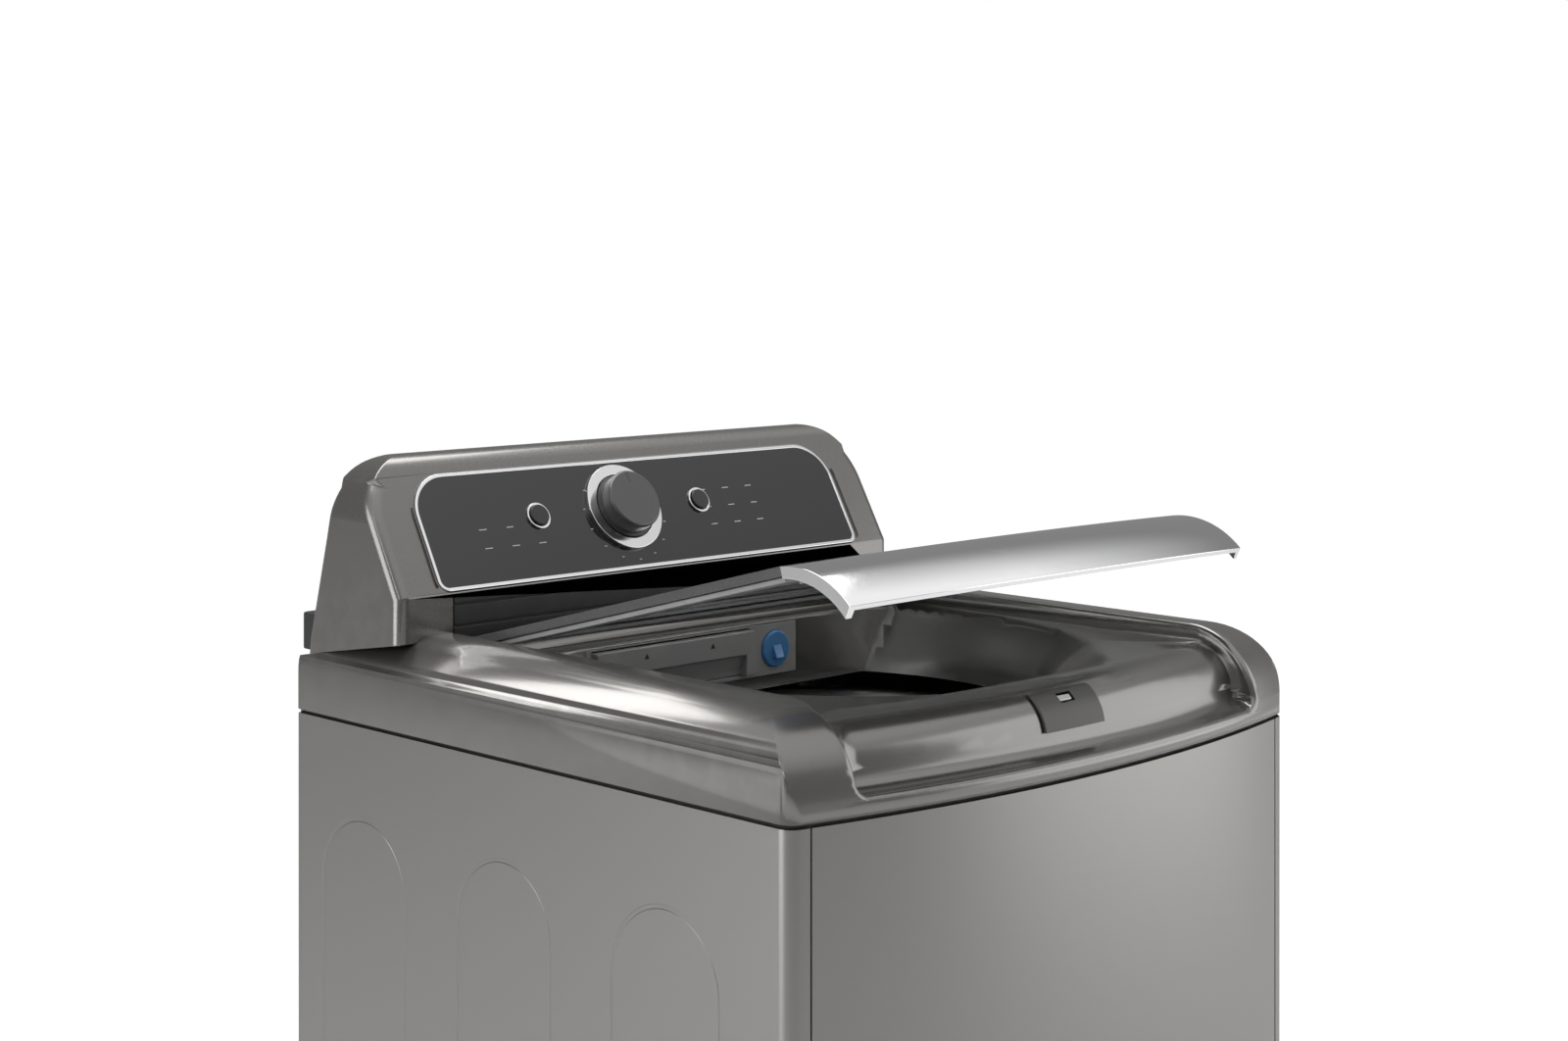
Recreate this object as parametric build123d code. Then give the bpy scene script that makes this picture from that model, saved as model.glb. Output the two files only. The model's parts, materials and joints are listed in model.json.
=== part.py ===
from build123d import *
import math
import os

os.makedirs("parts", exist_ok=True)

# Top load washing machine, millimetres. X runs across the front, Y from front to back, Z up.
# The origin is on the floor, under the middle of the machine's bounding box.

# ---- Overall sizes
WIDTH = 686.0
CABINET_DEPTH = 720.5  # from the middle of the bowed front to the rear panel
HEIGHT = 1130.0  # floor to the top of the console
BOW = 41.0  # how far the front bulges ahead of its corners
REAR_PROUD = 14.0  # what stands out behind the rear panel
COVER_RISE = 255.0  # console top above the seam between cabinet and top cover
SEAM = 3.5
CORNER_R = 15.0
SHEET = 1.2
FIT = 0.5  # clearance between bolted or snapped neighbours
CLEAR = 3.0  # clearance round moving parts

# ---- Cabinet, base and feet
FOOT_REACH = 32.0  # floor to the underside of the base
FOOT_R = 22.0
FOOT_PAD_H = 12.0
STUD_R = 6.0
STUD_PLAY = 0.08
BASE_H = 58.0
BASE_RIM = 46.0
FOOT_INSET = 58.0
FOOT_NAMES = ("foot_front_left", "foot_front_right", "foot_rear_left", "foot_rear_right")
FLANGE = 20.0  # side panels wrap this far round the front and the back
PANEL_JOINT = 1.6
RIB_WIDTH = 136.4
RIB_GAP = 76.5
RIB_FROM_REAR = 41.7
RIB_TOP_DROP = 85.7  # top of the stamped ribs below the seam
RIB_FOOT = 130.0
RIB_LINE = 4.0
RIB_DEEP = 0.6

# ---- Top cover
COVER_WALL = 3.0
CREST_UP = 90.0  # shoulder crest above the seam
DECK_UP = 73.0  # deck between the shoulders above the seam
LIP_UP = 18.0  # front lip above the seam
SHOULDER_R = 47.0
SHOULDER_W = 67.0
CREST_ROUND = 5.0  # soft edge along the shoulders, their noses and the lip
RECESS_CORNER_R = 12.0  # lower front corners of the room between the shoulders
NOSE_R = 78.0
SLOPE_DEPTH = 70.0  # front slope, from the lip back to the deck
SLOPE_FOOT = 10.0  # where the front slope starts to rise behind the lip
SLOPE_ROLL_R = 42.0  # convex roll from the slope up to the deck
SEAT_FALL = 27.0  # the console's seat falls this much towards the rear
SKIRT_DROP = 14.0
BOWL_FRONT = 78.0  # bowl rim behind the bowed front
BOWL_FRONT_RUN = 48.0  # the front wall of the bowl leans this far back
BOWL_FLARE = 34.0
BOWL_SCOOP = 84.0  # flare towards the front and the back
TROUGH_DROP = 9.0

# ---- Lid and its hinge
HINGE_FROM_REAR = 197.5
HINGE_BELOW_CREST = 8.0
LID_REST = 14.5  # degrees open in the rest pose
LID_GAP = 4.0
LID_T = 14.0
LID_BACK = 6.0  # lid behind its hinge axis
FRAME_BAND = 35.0
GLASS_T = 4.4
GLASS_LAP = 13.0
INNER_T = 5.0
CHROME_RUN = 70.3  # front handle, front to back
CHROME_DROP = 44.0
CHROME_NOSE = 9.0  # handle edge behind the bowed front
CHROME_BULGE = 10.0
CHROME_T = 4.0
CHROME_END = 6.0
CHROME_CHEEK = 10.4  # thickness of the handle at its two ends
WINDOW_FRONT = 33.0
WINDOW_BACK = 44.0
PIN_R = 4.0
PIN_PLAY = 0.06
PIN_LENGTH = 24.0
BUMPER_R = 7.0
BUMPER_H = 1.6
BUMPER_FROM_SIDE = 42.0
BUSH_T = 1.4
EAR_W = 32.0  # boss for a hinge bush

# ---- Lock: a flat bolt rises out of the bezel's slot into the keeper under the handle
LATCH_TILT = 45.0  # degrees, the bolt's axis from upright
LATCH_W = 84.0
LATCH_PROUD = 3.0
LATCH_ABOVE_LIP = 19.0
LATCH_BELOW_DECK = 5.0
BOLT_W = 16.0
BOLT_T = 6.0
BOLT_LENGTH = 32.0
BOLT_TIP = 2.0  # the drawn bolt's tip above the slope
BOLT_STROKE = 6.5
BOLT_PLAY = 0.3
SLOT_PLAY = 2.0
LOCK_W = 60.0
LOCK_T = 20.0
LOCK_DEPTH = 32.0
LOCK_SINK = 6.0
KEEPER_W = 56.0
KEEPER_H = 18.0
KEEPER_T = 2.0
KEEPER_UP = 5.8  # keeper above the slope when the lid is shut

# ---- Console
CONSOLE_FROM_REAR = 161.5  # console front edge ahead of the rear panel
CONSOLE_INSET = 4.0
CONSOLE_BACK_INSET = 14.0
CONSOLE_TOP_BACK = 36.0  # crown centre line ahead of the console's back
CROWN_R = 24.0
CONSOLE_END_R = 62.0
CONSOLE_WALL = 3.0
FASCIA_H = 44.0
PANEL_SIDE = 58.0  # console end to the glass
PANEL_TOP = 13.0
PANEL_SILL = 5.5
PANEL_R = 40.0
PANEL_FOOT_R = 8.0
PANEL_T = 4.0
TRIM_W = 3.5
KNOB_X = -30.0
KNOB_R = 32.0
KNOB_H = 24.0
KNOB_RING_R = 47.0
KNOB_RING_T = 5.0
BUTTON_R = 11.0
BUTTON_RING_R = 14.0
BUTTON_STROKE = 1.5
POWER_X = -143.0
START_X = 77.0
SHAFT_R = 3.0
STEM_R = 4.0

# ---- Dispenser
DRAWER_W = 212.0
DRAWER_H = 46.0
DRAWER_X = -62.0
DRAWER_DEPTH = 150.0
DRAWER_WALL = 2.2
OPENING_BACK = 42.0  # rear wall of the opening ahead of the hinge
HOUSING_WALL = 2.5
NOZZLE_R = 19.0
NOZZLE_X = 80.0
CUP_X = 120.0
CUP_GAP = 6.0  # bleach cup inside the bowl

# ---- Tub, basket and drive
TUB_CLEAR = 40.0  # cabinet side to tub
TUB_WALL = 3.5
TUB_DROP = 37.0  # tub rim below the seam
TUB_FLOOR_UP = 135.0  # tub floor above the base
TUB_FORWARD = 10.0
COVER_RING_T = 18.0
BASKET_CLEAR = 36.0
BASKET_WALL = 1.6
BASKET_LIFT = 36.0
BASKET_HOLE_R = 3.2
HOLE_ROWS = 7
HOLE_COLUMNS = 24
RING_H = 42.0
RING_W = 30.0
HUB_H = 16.0
PULSATOR_H = 22.0
PULSATOR_RIM = 26.0
VANE_COUNT = 6
VANE_H = 26.0
SPIN_R = 17.0
SPIN_BORE = 9.06
WASH_R = 9.0
BEARING_R = 31.0
BEARING_T = 14.0
BEARING_PLAY = 0.05
HOUSING_R = 52.0
HOUSING_H = 74.0
STATOR_R = 118.0
STATOR_H = 26.0
ROTOR_R = 138.0
ROTOR_WALL = 4.0
SHAFT_HOLE_R = 40.0
ROTOR_GAP = 6.0
TEETH = 24

# ---- Suspension
ROD_R = 5.0
ROD_INSET = 58.0  # cabinet side to rod
ROD_FROM_WALL = 17.0  # rods stand this far inside the tub's radius, front and back
BRACKET_T = 6.0
BRACKET_DROP = 30.0
LUG_UP = 200.0
LUG_T = 20.0
SPRING_LENGTH = 110.0
SPRING_R = 15.0
SPRING_WIRE = 2.4
SPRING_TURNS = 9
TRAVEL_DOWN = 40.0

# ---- Pump and water
PUMP_R = 34.0
PUMP_H = 72.0
SUMP_X = -150.0
SUMP_BACK = 150.0
PUMP_SINK = 34.0
PUMP_SOLE = 3.0
TRAY_T = 4.0
SUMP_R = 20.0
VALVE_R = 13.3
VALVE_X = 235.0
VALVE_PITCH = 60.0
PORT_ROOM = 3.0  # room round each inlet for its coupling
HOSE_R = 9.0
DRAIN_PORT_R = 15.0
DRAIN_PORT_X = 60.0
GLAND_R = 11.0
GLAND_X = -250.0
GLAND_Z = 190.0

# ---- Levels and lines that follow from them
Y_NOSE = -(CABINET_DEPTH + REAR_PROUD) / 2
Y_CORNER = Y_NOSE + BOW
Y_REAR = Y_NOSE + CABINET_DEPTH
HALF = WIDTH / 2
BOW_R = (HALF * HALF + BOW * BOW) / (2 * BOW)
BOW_AXIS = Y_NOSE + BOW_R
Z_SEAM = HEIGHT - COVER_RISE
Z_COVER = Z_SEAM + SEAM
Z_CREST = Z_SEAM + CREST_UP
Z_DECK = Z_SEAM + DECK_UP
Z_LIP = Z_SEAM + LIP_UP
Z_BASE = FOOT_REACH
Z_BASE_TOP = Z_BASE + BASE_H
Y_HINGE = Y_REAR - HINGE_FROM_REAR
Z_HINGE = Z_CREST - HINGE_BELOW_CREST
Y_CONSOLE = Y_REAR - CONSOLE_FROM_REAR
RECESS = HALF - SHOULDER_W
LID_HALF = RECESS - LID_GAP
Y_OPENING = Y_HINGE - OPENING_BACK
Y_TUB = (Y_CORNER + Y_REAR) / 2 - TUB_FORWARD
TUB_R = min(HALF - SHEET, (Y_REAR - Y_CORNER) / 2 + TUB_FORWARD) - TUB_CLEAR
Z_RIM = Z_SEAM - TUB_DROP
Z_TUB = Z_BASE_TOP + TUB_FLOOR_UP
BASKET_R = TUB_R - TUB_WALL - BASKET_CLEAR
MOUTH_R = BASKET_R - RING_W
BOWL_R = MOUTH_R + 4.0
Z_BASKET = Z_TUB + BASKET_LIFT
CUP_OUT = BOWL_R - CUP_GAP
ROD_X = HALF - ROD_INSET
ROD_Y = TUB_R - ROD_FROM_WALL
FAR = 2000.0


def block(x0, x1, y0, y1, z0, z1):
    """An upright box between six planes."""
    return Pos((x0 + x1) / 2, (y0 + y1) / 2, (z0 + z1) / 2) * Box(x1 - x0, y1 - y0, z1 - z0)


def disc(radius, z0, z1, x=0.0, y=0.0):
    """An upright cylinder."""
    return Pos(x, y, (z0 + z1) / 2) * Cylinder(radius, z1 - z0)


def ring(outer, bore, z0, z1, x=0.0, y=0.0):
    """An upright tube."""
    return disc(outer, z0, z1, x, y) - disc(bore, z0 - 1, z1 + 1, x, y)


def turned(edges, x=0.0, y=0.0):
    """A closed (radius, z) outline turned about an upright axis."""
    return Pos(x, y, 0) * revolve(Plane.XZ * make_face(edges), Axis.Z)


def outline(*points):
    """A closed outline of straight runs."""
    return Polyline(*points, close=True)


def across(edges, x0, x1):
    """A closed (y, z) outline carried across the machine from x0 to x1."""
    return Pos(x0, 0, 0) * extrude(Plane.YZ * make_face(edges), x1 - x0)


def bowed(edges):
    """A closed (depth behind the bowed front, z) outline swept along the bow, past both sides."""
    half_arc = 38.0
    face = Pos(0, Y_NOSE, 0) * (Plane.YZ * make_face(edges))
    axis = Axis((0, BOW_AXIS, 0), (0, 0, 1))
    start = Pos(0, BOW_AXIS, 0) * Rot(0, 0, -half_arc) * Pos(0, -BOW_AXIS, 0)
    return start * revolve(face, axis, 2 * half_arc)


def footprint(inset=0.0):
    """The cabinet's plan outline with its bowed front and rounded front corners, drawn in by inset."""
    half = HALF - inset
    radius = BOW_R - inset
    corner = BOW_AXIS - math.sqrt(radius * radius - half * half)
    front = ThreePointArc((-half, corner), (0, BOW_AXIS - radius), (half, corner))
    back = Polyline((half, corner), (half, Y_REAR - inset), (-half, Y_REAR - inset), (-half, corner))
    face = make_face(front.edges() + back.edges())
    return fillet(face.vertices().sort_by(Axis.Y)[:2], max(CORNER_R - inset, 1.0))


def upright(face, z0, z1):
    """A plan outline carried up from z0 to z1."""
    return Pos(0, 0, z0) * extrude(face, z1 - z0)


# ---- Cabinet


def rib_stamp(x, y):
    """The line round one stamped rib, as a cutter on the side face at x."""
    radius = RIB_WIDTH / 2
    top = Z_SEAM - RIB_TOP_DROP
    long = top - RIB_FOOT
    middle = Plane((x, y, RIB_FOOT + long / 2), x_dir=(0, 1, 0), z_dir=(1, 0, 0))
    outer = SlotOverall(long, RIB_WIDTH, rotation=90)
    inner = SlotOverall(long - 2 * RIB_LINE, 2 * radius - 2 * RIB_LINE, rotation=90)
    return extrude(middle * (outer - inner), RIB_DEEP, both=True)


def side_panel(side):
    """One side of the cabinet, wrapped round the front corner and the back corner."""
    shell = upright(footprint() - footprint(SHEET), Z_BASE + 4.0, Z_SEAM)
    near = side * (HALF - FLANGE)
    far = side * (HALF + 10.0)
    panel = shell & block(min(near, far), max(near, far), -FAR, FAR, 0, FAR)
    count = int((Y_REAR - Y_CORNER - RIB_FROM_REAR + RIB_GAP / 2) // (RIB_WIDTH + RIB_GAP))
    for turn in range(count):
        y = Y_REAR - RIB_FROM_REAR - RIB_WIDTH / 2 - turn * (RIB_WIDTH + RIB_GAP)
        panel -= rib_stamp(side * HALF, y)
    return panel


def front_panel():
    """The bowed front sheet between the two side panels."""
    shell = upright(footprint() - footprint(SHEET), Z_BASE + 4.0, Z_SEAM)
    half = HALF - FLANGE - PANEL_JOINT
    return shell & block(-half, half, Y_NOSE - 10, Y_CORNER + BOW, 0, FAR)


def rear_panel():
    """The flat back sheet with its hose and cord holes."""
    shell = upright(footprint() - footprint(SHEET), Z_BASE + 4.0, Z_SEAM)
    half = HALF - FLANGE - PANEL_JOINT
    panel = shell & block(-half, half, Y_REAR - 3 * SHEET, Y_REAR + 1, 0, FAR)
    for x in valve_places():
        panel -= along_y(VALVE_R + PORT_ROOM, x, valve_height(), Y_REAR - 10, Y_REAR + 10)
    panel -= along_y(DRAIN_PORT_R + FIT, DRAIN_PORT_X, valve_height(), Y_REAR - 10, Y_REAR + 10)
    panel -= along_y(GLAND_R + FIT, GLAND_X, GLAND_Z, Y_REAR - 10, Y_REAR + 10)
    return panel


def base_frame():
    """The moulded ring that carries the cabinet and the four levelling feet."""
    inset = SHEET + FIT
    body = upright(footprint(inset) - footprint(inset + BASE_RIM), Z_BASE, Z_BASE_TOP)
    for x, y in foot_places():
        body += disc(FOOT_R, Z_BASE, Z_BASE_TOP, x, y)
        body -= disc(STUD_R + STUD_PLAY, Z_BASE - 1, Z_BASE_TOP + 1, x, y)
    y = Y_TUB - SUMP_BACK
    top = Z_BASE_TOP - PUMP_SINK - PUMP_SOLE - 0.3
    tray = block(-HALF + inset + BASE_RIM - 2, SUMP_X + 60, y - 70, y + 60, top - TRAY_T, top)
    return body + tray


def foot_places():
    """Plan positions of the feet: front left, front right, rear left, rear right."""
    x = HALF - FOOT_INSET
    front, rear = Y_CORNER + FOOT_INSET, Y_REAR - FOOT_INSET
    return [(-x, front), (x, front), (-x, rear), (x, rear)]


def foot(x, y):
    """One levelling foot: rubber pad, hexagon and threaded stud."""
    pad = disc(FOOT_R, 0, FOOT_PAD_H, x, y)
    pad = chamfer(pad.edges().group_by(Axis.Z)[-1], 3.0)
    hexagon = Pos(x, y, FOOT_PAD_H) * extrude(RegularPolygon(11.0, 6), 9.0)
    return pad + hexagon + disc(STUD_R, FOOT_PAD_H, Z_BASE_TOP - 6.0, x, y)


# ---- Top cover


def shoulder_prism(inset):
    """The cover's section across the machine, with both shoulders rounded."""
    half = HALF - inset
    top = Z_CREST - inset
    r = SHOULDER_R - inset
    c = r * math.sqrt(0.5)
    edges = Polyline((-half, top - r), (-half, 0), (half, 0), (half, top - r)).edges()
    edges += ThreePointArc((half, top - r), (half - r + c, top - r + c), (half - r, top)).edges()
    edges += Line((half - r, top), (-half + r, top)).edges()
    edges += ThreePointArc((-half + r, top), (-half + r - c, top - r + c), (-half, top - r)).edges()
    return extrude(Plane.XZ * make_face(edges), FAR, both=True)


def nose_turn(inset):
    """The rounded fall of both shoulders towards the front."""
    top = Z_CREST - inset
    r = NOSE_R - inset
    c = r * math.sqrt(0.5)
    edges = Polyline((inset + r, top), (CABINET_DEPTH, top), (CABINET_DEPTH, 0), (inset, 0), (inset, top - r)).edges()
    edges += ThreePointArc((inset, top - r), (inset + r - c, top - r + c), (inset + r, top)).edges()
    return bowed(edges)


def bulged(start, end, bulge):
    """An arc from start to end that swells by bulge to the left of its run."""
    dx, dz = end[0] - start[0], end[1] - start[1]
    length = math.hypot(dx, dz)
    middle = ((start[0] + end[0]) / 2 - bulge * dz / length, (start[1] + end[1]) / 2 + bulge * dx / length)
    return ThreePointArc(start, middle, end).edges()


def slope_centres():
    """Centres of the slope's hollow and of its roll, in depth and height, and the hollow's radius."""
    rise, run = Z_DECK - Z_LIP, SLOPE_DEPTH - SLOPE_FOOT
    apart = (run * run + rise * rise) / (2 * rise)
    hollow_r = apart - SLOPE_ROLL_R
    return (SLOPE_FOOT, Z_LIP + hollow_r), (SLOPE_DEPTH, Z_DECK - SLOPE_ROLL_R), hollow_r


def around(centre, radius, start, end):
    """An arc about a centre between two angles from upright, in degrees, towards the back positive."""
    spots = []
    for angle in (start, (start + end) / 2, end):
        turn = math.radians(angle)
        spots.append((centre[0] + radius * math.sin(turn), centre[1] + radius * math.cos(turn)))
    return ThreePointArc(*spots).edges()


def slope_line(inset):
    """The front slope from the lip to the deck, a hollow and then a roll, drawn in by inset."""
    hollow, roll, hollow_r = slope_centres()
    meet = math.degrees(math.atan2(roll[0] - hollow[0], roll[1] - hollow[1]))
    return around(hollow, hollow_r + inset, 180.0, meet) + around(roll, SLOPE_ROLL_R - inset, meet - 180.0, 0.0)


def lid_recess(inset):
    """The room between the shoulders: front slope, deck, and everything above them."""
    foot_in, brow = (SLOPE_FOOT, Z_LIP - inset), (SLOPE_DEPTH, Z_DECK - inset)
    edges = slope_line(inset)
    edges += Polyline(brow, (CABINET_DEPTH, Z_DECK - inset), (CABINET_DEPTH, FAR), (-20, FAR),
                      (-20, Z_LIP - inset), foot_in).edges()
    width, height = 2 * (RECESS + inset), FAR - Z_LIP + inset
    front = Pos(0, Z_LIP - inset + height / 2) * RectangleRounded(width, height, RECESS_CORNER_R + inset)
    return bowed(edges) & extrude(Plane.XZ.offset(-Y_CONSOLE - inset) * front, FAR)


def seat_z(y):
    """Height of the sloping seat that carries the console."""
    return Z_HINGE + 1.0 - SEAT_FALL * (y - Y_CONSOLE) / CONSOLE_FROM_REAR


def console_seat(inset):
    """Everything above the console's seat."""
    back = Y_REAR + 50
    return across(outline((Y_CONSOLE + inset, seat_z(Y_CONSOLE) - inset), (back, seat_z(back) - inset),
                          (back, FAR), (Y_CONSOLE + inset, FAR)), -FAR, FAR)


def cover_mass(inset):
    """The top cover's outer form, drawn in by inset."""
    body = upright(footprint(inset), Z_COVER, Z_CREST)
    body = body & shoulder_prism(inset) & nose_turn(inset)
    return body - lid_recess(inset) - console_seat(inset)


def soft_crests(body):
    """Rounds each shoulder's inner edge; the round runs on down its nose and along the lip."""
    crests = [edge for edge in body.edges().filter_by(Axis.Y)
              if edge.center().Z > Z_CREST - FIT and abs(abs(edge.center().X) - RECESS) < FIT]
    return fillet(crests, CREST_ROUND)


def bowl(grow):
    """The bowl-shaped way into the basket, widening upwards, with a bowed front wall."""
    levels = [(Z_SEAM - 5.0, 0.0), (Z_SEAM + 24.0, 0.30), (Z_SEAM + 50.0, 0.68), (Z_DECK + 3.0, 1.0)]
    sections = []
    for z, share in levels:
        wide = BOWL_R + grow + share * BOWL_FLARE
        deep = BOWL_R + grow + share * BOWL_SCOOP
        sections.append(Pos(0, Y_TUB, z) * Ellipse(wide, deep))
    body = loft(sections)
    wall = bowed(outline((BOWL_FRONT - grow, FAR), (BOWL_FRONT - grow, Z_DECK),
                         (BOWL_FRONT + BOWL_FRONT_RUN - grow, Z_SEAM - 6.0),
                         (CABINET_DEPTH, Z_SEAM - 6.0), (CABINET_DEPTH, FAR)))
    return body & wall & block(-FAR, FAR, -FAR, Y_OPENING + grow, 0, FAR)


def cover_skirt():
    """The inner lip that drops inside the cabinet and hides the seam."""
    inset = SHEET + FIT
    face = footprint(inset) - footprint(inset + COVER_WALL)
    return upright(face, Z_SEAM - SKIRT_DROP, Z_COVER + COVER_WALL)


def housing_span():
    """Left and right edge of the dispenser housing."""
    return DRAWER_X - DRAWER_W / 2 - 8.0, NOZZLE_X + NOZZLE_R + 12.0


def hinge_trough(grow):
    """The sunk channel that the lid's back edge swings through."""
    return block(-RECESS - grow, RECESS + grow, Y_HINGE - 17 - grow, Y_CONSOLE - 4 + grow,
                 Z_DECK - TROUGH_DROP - grow, FAR)


def top_cover():
    """The moulded top: shoulders, deck, front slope and bowl, hollow from below."""
    void = cover_mass(COVER_WALL) - bowl(COVER_WALL) - hinge_trough(COVER_WALL)
    shell = soft_crests(cover_mass(0.0)) - bowl(0.0) - hinge_trough(0.0) - void
    shell += cover_skirt()
    left, right = housing_span()
    shell -= block(left - FIT, right + FIT, Y_OPENING - 20, Y_OPENING + 20, drawer_floor() - 5.0, drawer_top() + 3.0)
    for side in (-1, 1):
        ear = side * (RECESS + EAR_W / 2 - 1.0)
        shell += block(ear - EAR_W / 2, ear + EAR_W / 2, Y_HINGE - 9, Y_HINGE + 9, Z_HINGE - 9, Z_CREST - COVER_WALL)
        shell -= along_x(PIN_R + BUSH_T + PIN_PLAY, RECESS - 3, RECESS + 26, Y_HINGE, Z_HINGE, side)
    return shell - on_latch(bolt_outline(SLOT_PLAY + FIT), -2 * LOCK_SINK, 2 * LATCH_PROUD)



def along_x(radius, x0, x1, y, z, side=1):
    """A cylinder across the machine, mirrored to the left when side is -1."""
    return Pos(side * (x0 + x1) / 2, y, z) * Rot(0, 90, 0) * Cylinder(radius, x1 - x0)


def along_y(radius, x, z, y0, y1):
    """A cylinder from front to back."""
    return Pos(x, (y0 + y1) / 2, z) * Rot(90, 0, 0) * Cylinder(radius, y1 - y0)


def hinge_bushes():
    """A plain bush in each shoulder for the lid's pins."""
    made = []
    for side in (-1, 1):
        bush = along_x(PIN_R + BUSH_T, RECESS - 1.0, RECESS + 24.0, Y_HINGE, Z_HINGE, side)
        made.append(bush - along_x(PIN_R + PIN_PLAY, RECESS - 3, RECESS + 30, Y_HINGE, Z_HINGE, side))
    return Compound(children=made)


def latch_plane(lift):
    """The plane on the front slope that the bolt rises through: x across, z along the bolt."""
    tilt = math.radians(LATCH_TILT)
    out = Vector(0, -math.sin(tilt), math.cos(tilt))
    roll = slope_centres()[1]
    spot = Vector(0, Y_NOSE + roll[0], roll[1]) + out * (SLOPE_ROLL_R + lift)
    return Plane(spot, x_dir=(1, 0, 0), z_dir=out)


def on_latch(face, low, high):
    """A plan outline on the latch plane, carried from low to high along the bolt."""
    return extrude(latch_plane(low) * face, high - low)


def bolt_outline(grow):
    """The flat bolt's section."""
    return Rectangle(BOLT_W + 2 * grow, BOLT_T + 2 * grow)


def latch_bezel():
    """The raised grip plate on the front slope, with the slot for the bolt."""
    proud, root = (SLOPE_FOOT, Z_LIP + LATCH_PROUD), (SLOPE_FOOT, Z_LIP + 0.3)
    brow, deck = (SLOPE_DEPTH, Z_DECK + LATCH_PROUD), (SLOPE_DEPTH, Z_DECK + 0.3)
    edges = slope_line(-LATCH_PROUD) + slope_line(-0.3) + Line(brow, deck).edges() + Line(root, proud).edges()
    half = LATCH_W / 2
    low, high = Z_LIP + LATCH_ABOVE_LIP, Z_DECK - LATCH_BELOW_DECK
    plate = bowed(edges) & block(-half, half, -FAR, Y_CORNER + SLOPE_DEPTH, low, high)
    ends = plate.edges().filter_by(lambda e: abs(e.center().X) > half - 1.0)
    return chamfer(ends, 1.2) - on_latch(bolt_outline(SLOT_PLAY), -2 * LOCK_SINK, 4 * LATCH_PROUD)


def lid_lock():
    """The lock's body behind the front slope, with the guide for its bolt."""
    body = on_latch(Rectangle(LOCK_W, LOCK_T), -LOCK_SINK - LOCK_DEPTH, -LOCK_SINK)
    return body - on_latch(bolt_outline(BOLT_PLAY), BOLT_TIP - BOLT_LENGTH - 1.0, 0.0)


def lock_bolt():
    """The flat bolt, drawn back so that its tip stands just inside the slot."""
    bolt = on_latch(bolt_outline(0.0), BOLT_TIP - BOLT_LENGTH, BOLT_TIP)
    plane = latch_plane(0.0)
    tip = bolt.edges().group_by(lambda e: round((e.center() - plane.origin).dot(plane.z_dir), 3))[-1]
    return chamfer(tip, 0.8)


# ---- Lid, drawn shut and then turned to its rest angle


def lid_turn(shape):
    """Turns the shut lid to its rest angle about the hinge."""
    return Pos(0, Y_HINGE, Z_HINGE) * Rot(-LID_REST, 0, 0) * Pos(0, -Y_HINGE, -Z_HINGE) * shape


def behind_bow(depth, z0, z1, half, back):
    """A slab behind a line that runs parallel to the bow, between the sides and back."""
    slab = bowed(outline((depth, z0), (CABINET_DEPTH, z0), (CABINET_DEPTH, z1), (depth, z1)))
    return slab & block(-half, half, -FAR, back, 0, FAR)


def chrome_start():
    """Depth behind the bow where the lid's flat top ends and the handle begins."""
    return CHROME_NOSE + CHROME_RUN


def lid_window(grow, z0, z1):
    """The window through the lid's frames, with its arched front edge."""
    half = LID_HALF - FRAME_BAND + grow
    return behind_bow(chrome_start() + WINDOW_FRONT - grow, z0, z1, half, Y_HINGE - WINDOW_BACK + grow)


def lid_frame():
    """The lid's outer frame with a rebate for the glass and its two hinge ears."""
    top = Z_CREST
    frame = behind_bow(chrome_start() + FIT, top - LID_T + INNER_T + 0.3, top, LID_HALF, Y_HINGE + LID_BACK)
    rear = frame.edges().filter_by(Axis.X).group_by(Axis.Y)[-1]
    frame = fillet(rear, 3.0)
    frame -= lid_window(0.0, 0, FAR)
    frame -= lid_window(GLASS_LAP + FIT, top - GLASS_T - 0.6, FAR)
    for side in (-1, 1):
        frame -= along_x(PIN_R, LID_HALF - PIN_LENGTH / 2, LID_HALF + 1, Y_HINGE, Z_HINGE, side)
    return lid_turn(frame)


def lid_glass():
    """The tempered pane let into the frame."""
    return lid_turn(lid_window(GLASS_LAP, Z_CREST - GLASS_T - 0.3, Z_CREST - 0.3))


def lid_inner_frame():
    """The moulded underside of the lid, with raised ribs."""
    low = Z_CREST - LID_T
    body = behind_bow(chrome_start() + FIT, low, low + INNER_T, LID_HALF - 3.0, Y_HINGE - 12.0)
    body -= lid_window(3.0, 0, FAR)
    for turn in range(3):
        depth = chrome_start() + 2.0 + 7.0 * turn
        rib = behind_bow(depth, low - 0.8, low + 0.5, LID_HALF - 60.0, Y_HINGE)
        rib -= behind_bow(depth + 2.0, low - 5, FAR, HALF, Y_REAR)
        body += rib
    return lid_turn(body)


def handle_edges(thick):
    """Outline of the bent-down front handle, thick behind its outer face."""
    start = (CHROME_NOSE, Z_CREST - CHROME_DROP)
    end = (chrome_start(), Z_CREST)
    inner_start = (CHROME_NOSE + 0.75 * thick, Z_CREST - CHROME_DROP - 0.9 * thick)
    inner_end = (chrome_start(), Z_CREST - thick)
    edges = bulged(start, end, CHROME_BULGE) + Line(end, inner_end).edges()
    return edges + bulged(inner_start, inner_end, CHROME_BULGE - 0.1 * thick) + Line(inner_start, start).edges()


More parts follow.
